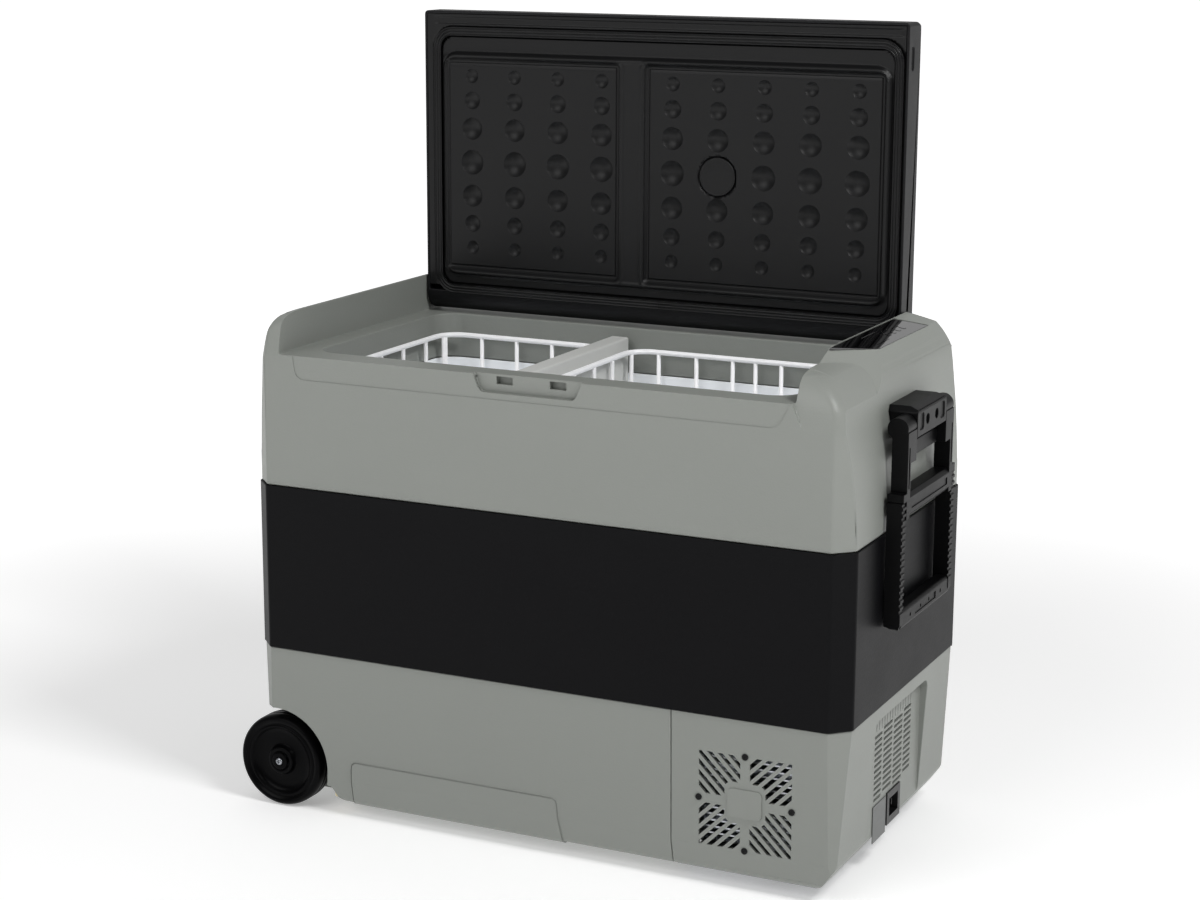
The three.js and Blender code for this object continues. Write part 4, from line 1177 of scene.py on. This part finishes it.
def bent_wire(points, radius=6):
    """Rounds the bends of an open wire that lies in one plane."""
    ends = [points[0], points[-1]]
    result = [ends[0]]
    for before, corner, after in zip(points, points[1:], points[2:]):
        before, corner, after = Vector(before), Vector(corner), Vector(after)
        reach = min(radius, (before - corner).length * 0.45, (after - corner).length * 0.45)
        start = corner + (before - corner).normalized() * reach
        end = corner + (after - corner).normalized() * reach
        for t in np.linspace(0, 1, 6):
            result.append(tuple(start * (1 - t) ** 2 + corner * 2 * t * (1 - t) + end * t ** 2))
    return result + [ends[1]]


# %% One basket from its floor levels
BASKET_CORNER = 24


def corner_shift(place, low, high):
    """How far the rail's round corner has turned inwards at a place along a side."""
    inward = max(0.0, BASKET_CORNER - min(place - low, high - place))
    return BASKET_CORNER - math.sqrt(max(BASKET_CORNER ** 2 - inward ** 2, 0))


def basket(node, levels, columns, rows, name):
    """levels lists (left, right, floor) from left to right; columns and rows are where wires run."""
    low, high = span(node)
    top = high.z - RAIL
    front, rear = low.y + RAIL, high.y - RAIL
    left, right = low.x + RAIL, high.x - RAIL
    routes = []

    def hoop(inset, z):
        sides = (left + inset, right - inset), (front + inset, rear - inset)
        return [(u, v, z) for u, v in rounded_rect(*sides, BASKET_CORNER, 10)]

    def floor_at(x):
        return next(floor for start, end, floor in levels if x <= end) + WIRE

    routes.append((hoop(1, top - 78), True))
    for x in columns:
        shift = corner_shift(x, left, right)
        a, b = front + shift, rear - shift
        route = [(x, a, top), (x, a, floor_at(x)), (x, b, floor_at(x)), (x, b, top)]
        routes.append((bent_wire(route, 7), False))
    steps = []
    for start, end, floor in levels:
        steps += [(start, floor + WIRE * 2.6), (end, floor + WIRE * 2.6)]
    for y in rows:
        shift = corner_shift(y, front, rear)
        path = [(left + shift, y, top)]
        path += [(max(min(x, right - shift), left + shift), y, z) for x, z in steps]
        path.append((right - shift, y, top))
        routes.append((bent_wire(path, 7), False))
    whole = gather(name, [wires("rail", [(hoop(0, top), True)], RAIL), wires("wire", routes, WIRE)])
    whole.data.shade_smooth()
    return whole


STEP = 41
LEDGE_FLOOR = (-217, 118)
left_low, left_high = span("basket_left")
right_low, right_high = span("basket_right")
left_basket = basket("basket_left",
                     [(left_low.x + 3, LEDGE_FLOOR[0] + 3, LEDGE_FLOOR[1]),
                      (LEDGE_FLOOR[0] + 3, left_high.x - 3, left_low.z)],
                     [-241, *[-203 + i * STEP for i in range(4)], -66],
                     [-96, -63, -18.5, 25.5, 72, 104], "left")
# Both baskets' wire finish carries a painted glow, which lightens them inside the shaded tub.
finish(left_basket, "basket_left_fine", "left_basket", "white_wire", basket_coat, "basket_left")
right_basket = basket("basket_right",
                      [(right_low.x + 3, 127 - 3, right_low.z), (127 - 3, right_high.x - 3, 197)],
                      [0, 41.5, 81, 105.5, 133, 176, 214], [-98, -66, -21, 23.5, 65, 104], "right")
finish(right_basket, "basket_right_fine", "right_basket", "white_wire", basket_coat, "basket_right")

# %% [markdown]
# ## The divider
# A thick pale slab between the two baskets. It lifts out, so its top edge is broad enough to
# grip, and its rear edge stays clear of the open lid's lining on the way up.

# %% Divider
low, high = span("tub_divider")
CLEAR_OF_LID = 2.5
divider = box((low.x, high.x), (low.y, min(high.y, PLUG_FACE - CLEAR_OF_LID)), (low.z, high.z))
soften(divider, 2.4, segments=4)
finish(divider, "tub_divider_fine", "divider", "light_grey", divider_grey, "tub_divider")

# %% [markdown]
# ## The wheels
# Hard plastic wheels, moulded in one piece. The side shows a rounded tread shoulder, two raised
# rings, a dished hub and a bright screw in the middle, with a dark cap round it. A shape like
# that is drawn once as half a section and turned.

# %% One wheel
WHEEL_OUTER = abs(span("wheel_front")[0].y)


def wheel(side):
    """The section is (radius, depth below the outer face)."""
    r = WHEEL_RADIUS
    wide = span("wheel_front")[1].y - span("wheel_front")[0].y
    face = [(5.4, 2.5), (9.5, 2.5), (10.5, 1.0), (13.2, 1.0), (14.0, 2.2), (14.6, 6.4), (17, 7.4),
            (26, 7.8), (31.5, 6.6), (33.4, 4.0), (34.6, 2.2), (35.8, 1.8), (37.0, 2.6), (37.8, 2.9),
            (39.6, 1.4), (40.6, 0.7), (42.6, 0.2), (44.3, 1.0), (45.8, 3.0), (46.6, 5.6), (r, 8)]
    ribs = [(r, 11), (r - 0.9, 11.5), (r - 0.9, 12.5), (r, 13), (r, wide - 13),
            (r - 0.9, wide - 12.5), (r - 0.9, wide - 11.5), (r, wide - 11)]
    rear = [(r, wide - 8), (46.2, wide - 4), (44.4, wide - 1), (42, wide), (38, wide),
            (36, wide - 5), (15, wide - 6), (14, wide - 2), (5.4, wide - 2)]
    profile = [(radius, side * (WHEEL_OUTER - depth)) for radius, depth in face + ribs + rear]
    return turned("wheel", "y", (WHEEL.x, WHEEL.z), profile, 144)


for side, where in ((-1, "front"), (1, "rear")):
    finish(soften(wheel(side), 0), f"wheel_{where}_fine", f"{where}_wheel", "wheel_plastic", wheel_black,
           f"wheel_{where}")


# %% Screws with a cross in the head
def screw(axis, centre, seat, out, radius, tall, shank_to, shank_radius):
    """A domed head that stands out from its seat, with a cross recess and a shank behind."""
    dome = [(radius * k, seat + out * tall * (1 - 0.35 * k ** 2.5)) for k in (0.02, 0.3, 0.6, 0.85)]
    edge = [(radius * 0.97, seat + out * tall * 0.55), (radius, seat + out * tall * 0.35), (radius, seat)]
    shank = [(shank_radius, seat), (shank_radius, shank_to), (radius * 0.02, shank_to)]
    head = turned("screw", axis, centre, dome + edge + shank, 48)
    arm = radius * 0.55
    thin = radius * 0.14
    depth = sorted((seat + out * tall * 0.45, seat + out * (tall + 1)))
    for wide, narrow in ((arm, thin), (thin, arm)):
        u = (centre[0] - wide, centre[0] + wide)
        v = (centre[1] - narrow, centre[1] + narrow)
        cross = prism("cross", [(u[0], v[0]), (u[1], v[0]), (u[1], v[1]), (u[0], v[1])], axis, *depth)
        shape(head, "DIFFERENCE", [cross])
    return crisp(soften(head, 0), 35)


CAP_PROFILE = [(4.1, 0), (8.6, 0), (8.6, 0.6), (8, 1.1), (5, 1.1), (4.1, 0.7)]
for i in range(1, 5):
    node = f"grille_screw_{i}"
    low, high = span(node)
    head = screw("y", ((low.x + high.x) / 2, (low.z + high.z) / 2), low.y + 1.2, -1, 3.1, 1.2, high.y, 1.6)
    finish(head, node + "_fine", "cabinet", "steel", screw_black, node)
for side, where in ((-1, "front"), (1, "rear")):
    node = f"wheel_screw_{where}"
    low, high = span(node)
    seat, far = (high.y - 1.4, low.y) if side < 0 else (low.y + 1.4, high.y)
    cap = turned("cap", "y", (WHEEL.x, WHEEL.z), [(r, seat + side * h) for r, h in CAP_PROFILE], 64)
    finish(soften(cap, 0), node + "_cap", "cabinet", "steel", wheel_black)
    head = screw("y", (WHEEL.x, WHEEL.z), seat, side, 3.7, abs(far - seat), seat - side * 1.2, 3.0)
    finish(head, node + "_fine", "cabinet", "steel", screw_steel, node)
    node = f"bracket_screw_{where}"
    low, high = span(node)
    head = screw("x", ((low.y + high.y) / 2, (low.z + high.z) / 2), high.x - 2.1, 1, 4.1, 2.0, low.x, 2.0)
    finish(head, node + "_fine", "cabinet", "steel", screw_steel, node)

# %% [markdown]
# ## The tow handle
# The handle hangs flat on the end wall from a bracket. A ladder-shaped arm turns in the
# bracket, and a U-shaped grip slides on its two rails, so that the closed handle can be swung
# out and drawn longer. The teeth along the grip's edges stop it slipping through wet hands.

# %% Bracket
ARM = span("handle_arm")
GRIP = span("handle_grip")
BRACKET = span("handle_bracket")
PIVOT = middle("handle_pin_front")
OUTSIDE = ARM[1].x
INSIDE = GRIP[0].x


def wall_reach(z):
    return float(np.interp(z, [p[1] for p in HANDLE_END_WALL], [p[0] for p in HANDLE_END_WALL]))


def y_range(side, near, far):
    return tuple(sorted((side * near, side * far)))


def pin_hole(side):
    return rod("y", 3.8, (PIVOT.x, PIVOT.z), *y_range(side, 33.7, 60.3))


def bracket():
    y0, y1 = BRACKET[0].y, BRACKET[1].y
    face = [(OUTSIDE, 415), (OUTSIDE, 440), (318, 443)] + [(wall_reach(z) + 0.5, z) for z in (443, 431, 412)]
    body = prism("bracket", rounded(face, [2, 3, 3, 0, 0, 0]), "y", y0, y1)
    corners = [(y0, 405), (y1, 405), (y1, 438), (y1 - 9, 447), (y0 + 9, 447), (y0, 438)]
    shape(body, "INTERSECT", [prism("front", rounded(corners, [0, 0, 4, 6, 6, 4]), "x", 290, 340)])
    tools = [box((OUTSIDE - 5, 340), (-27, 27), (405, 414.5))]
    for y in (-13, 13):
        tools.append(rod("x", 4.6, (y, 428), 322, 330))
        tools.append(rod("x", 2.3, (y, 428), 290, 330))
    for side in (-1, 1):
        tools.append(pin_hole(side))
        dimple = rounded_rect(y_range(side, 24, 36), (421, 436), 3)
        tools.append(prism("dimple", dimple, "x", OUTSIDE - 1.2, 340))
    return shape(body, "DIFFERENCE", tools)


finish(soften(bracket(), 0.8), "handle_bracket_fine", "cabinet", "black_satin", handle_black,
       "handle_bracket")


# %% Arm
ARM_HALF = 66


def both_sides(build):
    return [piece for side in (-1, 1) for piece in build(side)]


def handle_arm():
    def side_parts(side):
        ear = rod("y", 10, (PIVOT.x, PIVOT.z), *y_range(side, 42.5, ARM_HALF))
        bar_face = rounded([(INSIDE, 340), (OUTSIDE, 340), (OUTSIDE, 424), (INSIDE, 424)], 1.5)
        upright = prism("upright", bar_face, "y", *y_range(side, 57, ARM_HALF))
        shape(upright, "INTERSECT", [box((300, 330), (-80, 80), (344, 424))])
        neck = box((INSIDE, OUTSIDE), y_range(side, 42.5, ARM_HALF), (395, 424))
        sleeve = box((INSIDE, OUTSIDE), y_range(side, 57, ARM[1].y), (GRIP[1].z + 0.3, 369))
        rail = box((315.6, 322.4), y_range(side, 68.8, 72.8), (256, 366))
        return [ear, upright, neck, sleeve, rail]

    parts = both_sides(side_parts)
    cross = rounded([(INSIDE, 394), (318, 394), (318, 409), (INSIDE, 409)], 1.5)
    low_bar = rounded([(INSIDE, 344), (OUTSIDE - 4, 344), (OUTSIDE, 349), (OUTSIDE, 363),
                       (OUTSIDE - 3, 367), (INSIDE, 367)], [0, 3, 2, 2, 2, 0])
    parts += [prism("bar", outline, "y", -60, 60) for outline in (cross, low_bar)]
    for part in parts:
        settle(edge_radius(part, 0.5, segments=2))
    arm = shape(parts[0], "UNION", parts[1:])
    tools = [box((290, 340), (-42.5, 42.5), (409, 450))]
    for side in (-1, 1):
        tools.append(pin_hole(side))
        tools.append(box((OUTSIDE - 1.1, 340), y_range(side, 60, 63), (372, 410)))
    tools.append(box((OUTSIDE - 0.9, 340), (-52, 52), (352.5, 359.5)))
    return shape(arm, "DIFFERENCE", tools)


arm = crisp(soften(handle_arm(), 0), 35)
finish(arm, "handle_arm_fine", "tow_arm", "black_satin", handle_black, "handle_arm")


# %% Grip
TEETH = 17
TEETH_LOW = 256
LEG = 9.1
BAR_TALL = 18


def handle_grip():
    low, high = GRIP
    pitch = (high.z - TEETH_LOW) / TEETH
    teeth = []
    for i in range(TEETH):
        z = TEETH_LOW + i * pitch
        teeth += [(OUTSIDE, z), (OUTSIDE, z + 0.35 * pitch)]
        teeth += [(OUTSIDE - 1.2, z + 0.5 * pitch), (OUTSIDE - 1.2, z + 0.85 * pitch)]
    foot = [(INSIDE, low.z + 3), (OUTSIDE - 3, low.z), (OUTSIDE, low.z + 6)]
    face = [*foot, *teeth, (OUTSIDE, high.z), (INSIDE, high.z)]
    grip = prism("grip", face, "y", low.y, low.y + LEG)
    other = prism("grip", face, "y", high.y - LEG, high.y)
    bar_face = rounded([(INSIDE, low.z), (OUTSIDE - 0.5, low.z), (OUTSIDE - 0.5, low.z + BAR_TALL),
                        (INSIDE, low.z + BAR_TALL)], [5, 4, 4, 5])
    bar = prism("bar", bar_face, "y", -70, 70)
    settle(edge_radius(bar, 0.6, segments=2))
    shape(grip, "UNION", [other, bar])
    corners = [(low.y, low.z - 1), (high.y, low.z - 1), (high.y, high.z + 1), (low.y, high.z + 1)]
    shape(grip, "INTERSECT", [prism("corners", rounded(corners, [9, 9, 1, 1]), "x", 300, 335)])
    tools = [box((315.3, 322.7), y_range(side, 68.5, 73.1), (254, 400)) for side in (-1, 1)]
    tools += [rod("x", 1.8, (y, 251), OUTSIDE - 2.5, 330, 24) for y in (-44, -12, 12, 44)]
    tools.append(box((OUTSIDE - 1.3, 330), (-30, 30), (247.5, 254.5)))
    return shape(grip, "DIFFERENCE", tools)


grip = crisp(soften(handle_grip(), 0), 35)
finish(grip, "handle_grip_fine", "tow_grip", "black_satin", handle_black, "handle_grip")

# %% [markdown]
# ## The control panel
# On top of the tower lies a strip of mirror-black glass. The display and the four touch keys
# are behind and in it, so at rest only fine rings give the keys away.

# %% Glass strip
def control_panel():
    glass = panel_block(-2.8, -0.5)
    display = middle("display_window")
    window = loft("window", [[panel_point(0.5, display.y, up) + PANEL_DOWN * u + Vector((0, v, 0))
                              for u, v in rounded_rect((-7.8, 7.8), (-18.3, 18.3), 1.5)] for up in (-4, 3)])
    return shape(glass, "DIFFERENCE", [window, *[key_well(-8, 4, 4.75, key_place(name)) for name in KEYS]])


glass = soften(control_panel(), 0.25, segments=2)
finish(glass, "control_panel_fine", "cabinet", "black_gloss", mirror_black, "control_panel")

# %% [markdown]
# ## Frame pieces that only need a finish
# The foams, the parts inside the bay, the pins, the feet, the keys and a few small fittings are
# already the right shape. They keep their own meshes and get a material, and a narrow bevel
# where light would catch an edge.

# %% Finishes for the frame pieces
KEPT = [(foam_cream, ["insulation_foam", "lid_foam"]),
        (fin_metal, ["evaporator_plate", "condenser"]),
        (sheet_steel, ["bay_roof", "base_pan"]),
        (cover_black, ["compressor"]),
        (socket_black, ["fan_housing", "fan_rotor", "dc_socket"]),
        (board_green, ["control_board"]),
        (plate_grey, ["rating_plate"]),
        (mirror_black, ["display_window", *KEYS]),
        (foot_rubber, ["rubber_foot_front", "rubber_foot_rear"]),
        (screw_steel, ["wheel_axle", "handle_pin_front", "handle_pin_rear", "hinge_pin_left",
                       "hinge_pin_right"])]
for look, kept in KEPT:
    for node in kept:
        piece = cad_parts[node]
        piece.data.materials.clear()
        piece.data.materials.append(look)
        add_bevel(piece, 0.3, 32, 2)
        flat_faces(piece)
print("frame pieces kept:", sum(len(kept) for look, kept in KEPT))

# %% [markdown]
# ## Floor and light
# A white sweep of floor, a broad soft light above the front, a smaller one at the handle end
# and a faint one overhead. The floor glows a little, more so further out, which keeps it white
# up to the horizon. The room is dark behind the viewer and bright behind the cooler, so black plastic stays
# black from the front and picks up a pale sheen along its end wall.

# %% Floor
def eased(tree, value, given, wanted):
    """Carries one range of values over to another, easing in and out."""
    node = tree.nodes.new("ShaderNodeMapRange")
    node.interpolation_type = "SMOOTHSTEP"
    set_inputs(node, {"From Min": given[0], "From Max": given[1], "To Min": wanted[0], "To Max": wanted[1]})
    tree.links.new(value, node.inputs["Value"])
    return node.outputs["Result"]


bpy.ops.mesh.primitive_plane_add(size=60, location=(0, 0, 0))
floor = bpy.context.object
floor.name = "floor"
paper = bpy.data.materials.new("white paper")
paper.use_nodes = True
sheet = paper.node_tree.nodes["Principled BSDF"]
set_inputs(sheet, {"Base Color": (0.9, 0.9, 0.9, 1), "Roughness": 0.9, "Specular IOR Level": 0.1,
                   "Emission Color": (1, 1, 1, 1)})
away = paper.node_tree.nodes.new("ShaderNodeVectorMath")
away.operation = "LENGTH"
place = paper.node_tree.nodes.new("ShaderNodeNewGeometry")
paper.node_tree.links.new(place.outputs["Position"], away.inputs[0])
glow = eased(paper.node_tree, away.outputs["Value"], (0.6, 2.2), (0.3, 0.8))
paper.node_tree.links.new(glow, sheet.inputs["Emission Strength"])
floor.data.materials.append(paper)
print("floor laid at", floor.location.z)

# %% Room light
world = bpy.data.worlds.new("room")
bpy.context.scene.world = world
world.use_nodes = True
nodes, links = world.node_tree.nodes, world.node_tree.links
background = nodes["Background"]
direction = nodes.new("ShaderNodeTexCoord").outputs["Generated"]
split = nodes.new("ShaderNodeSeparateXYZ")
links.new(direction, split.inputs[0])
behind = eased(world.node_tree, split.outputs["Y"], (-0.7, 0.6), (0.1, 0.5))
seen = nodes.new("ShaderNodeLightPath").outputs["Is Camera Ray"]
links.new(math_node(world.node_tree, "MAXIMUM", behind, seen), background.inputs["Strength"])
background.inputs["Color"].default_value = (1, 1, 1, 1)


# %% Lamps
def lamp(name, place, target, size, power):
    data = bpy.data.lights.new(name, "AREA")
    data.shape = "RECTANGLE"
    data.size, data.size_y = size
    data.energy = power
    light = bpy.data.objects.new(name, data)
    bpy.context.scene.collection.objects.link(light)
    light.location = place
    light.rotation_mode = "QUATERNION"
    light.rotation_quaternion = (Vector(target) - Vector(place)).to_track_quat("-Z", "Y")
    print(name, power, "W")


lamp("front light", (-0.9, -2.7, 2.3), (0, 0, 0.35), (2.4, 1.6), 37)
lamp("handle end light", (1.9, -0.7, 2.5), (0.2, 0, 0.45), (0.8, 0.8), 42)
lamp("top light", (0.0, -0.7, 3.0), (0, 0, 0.4), (1.6, 1.6), 4)
bpy.context.scene.view_settings.view_transform = "Standard"
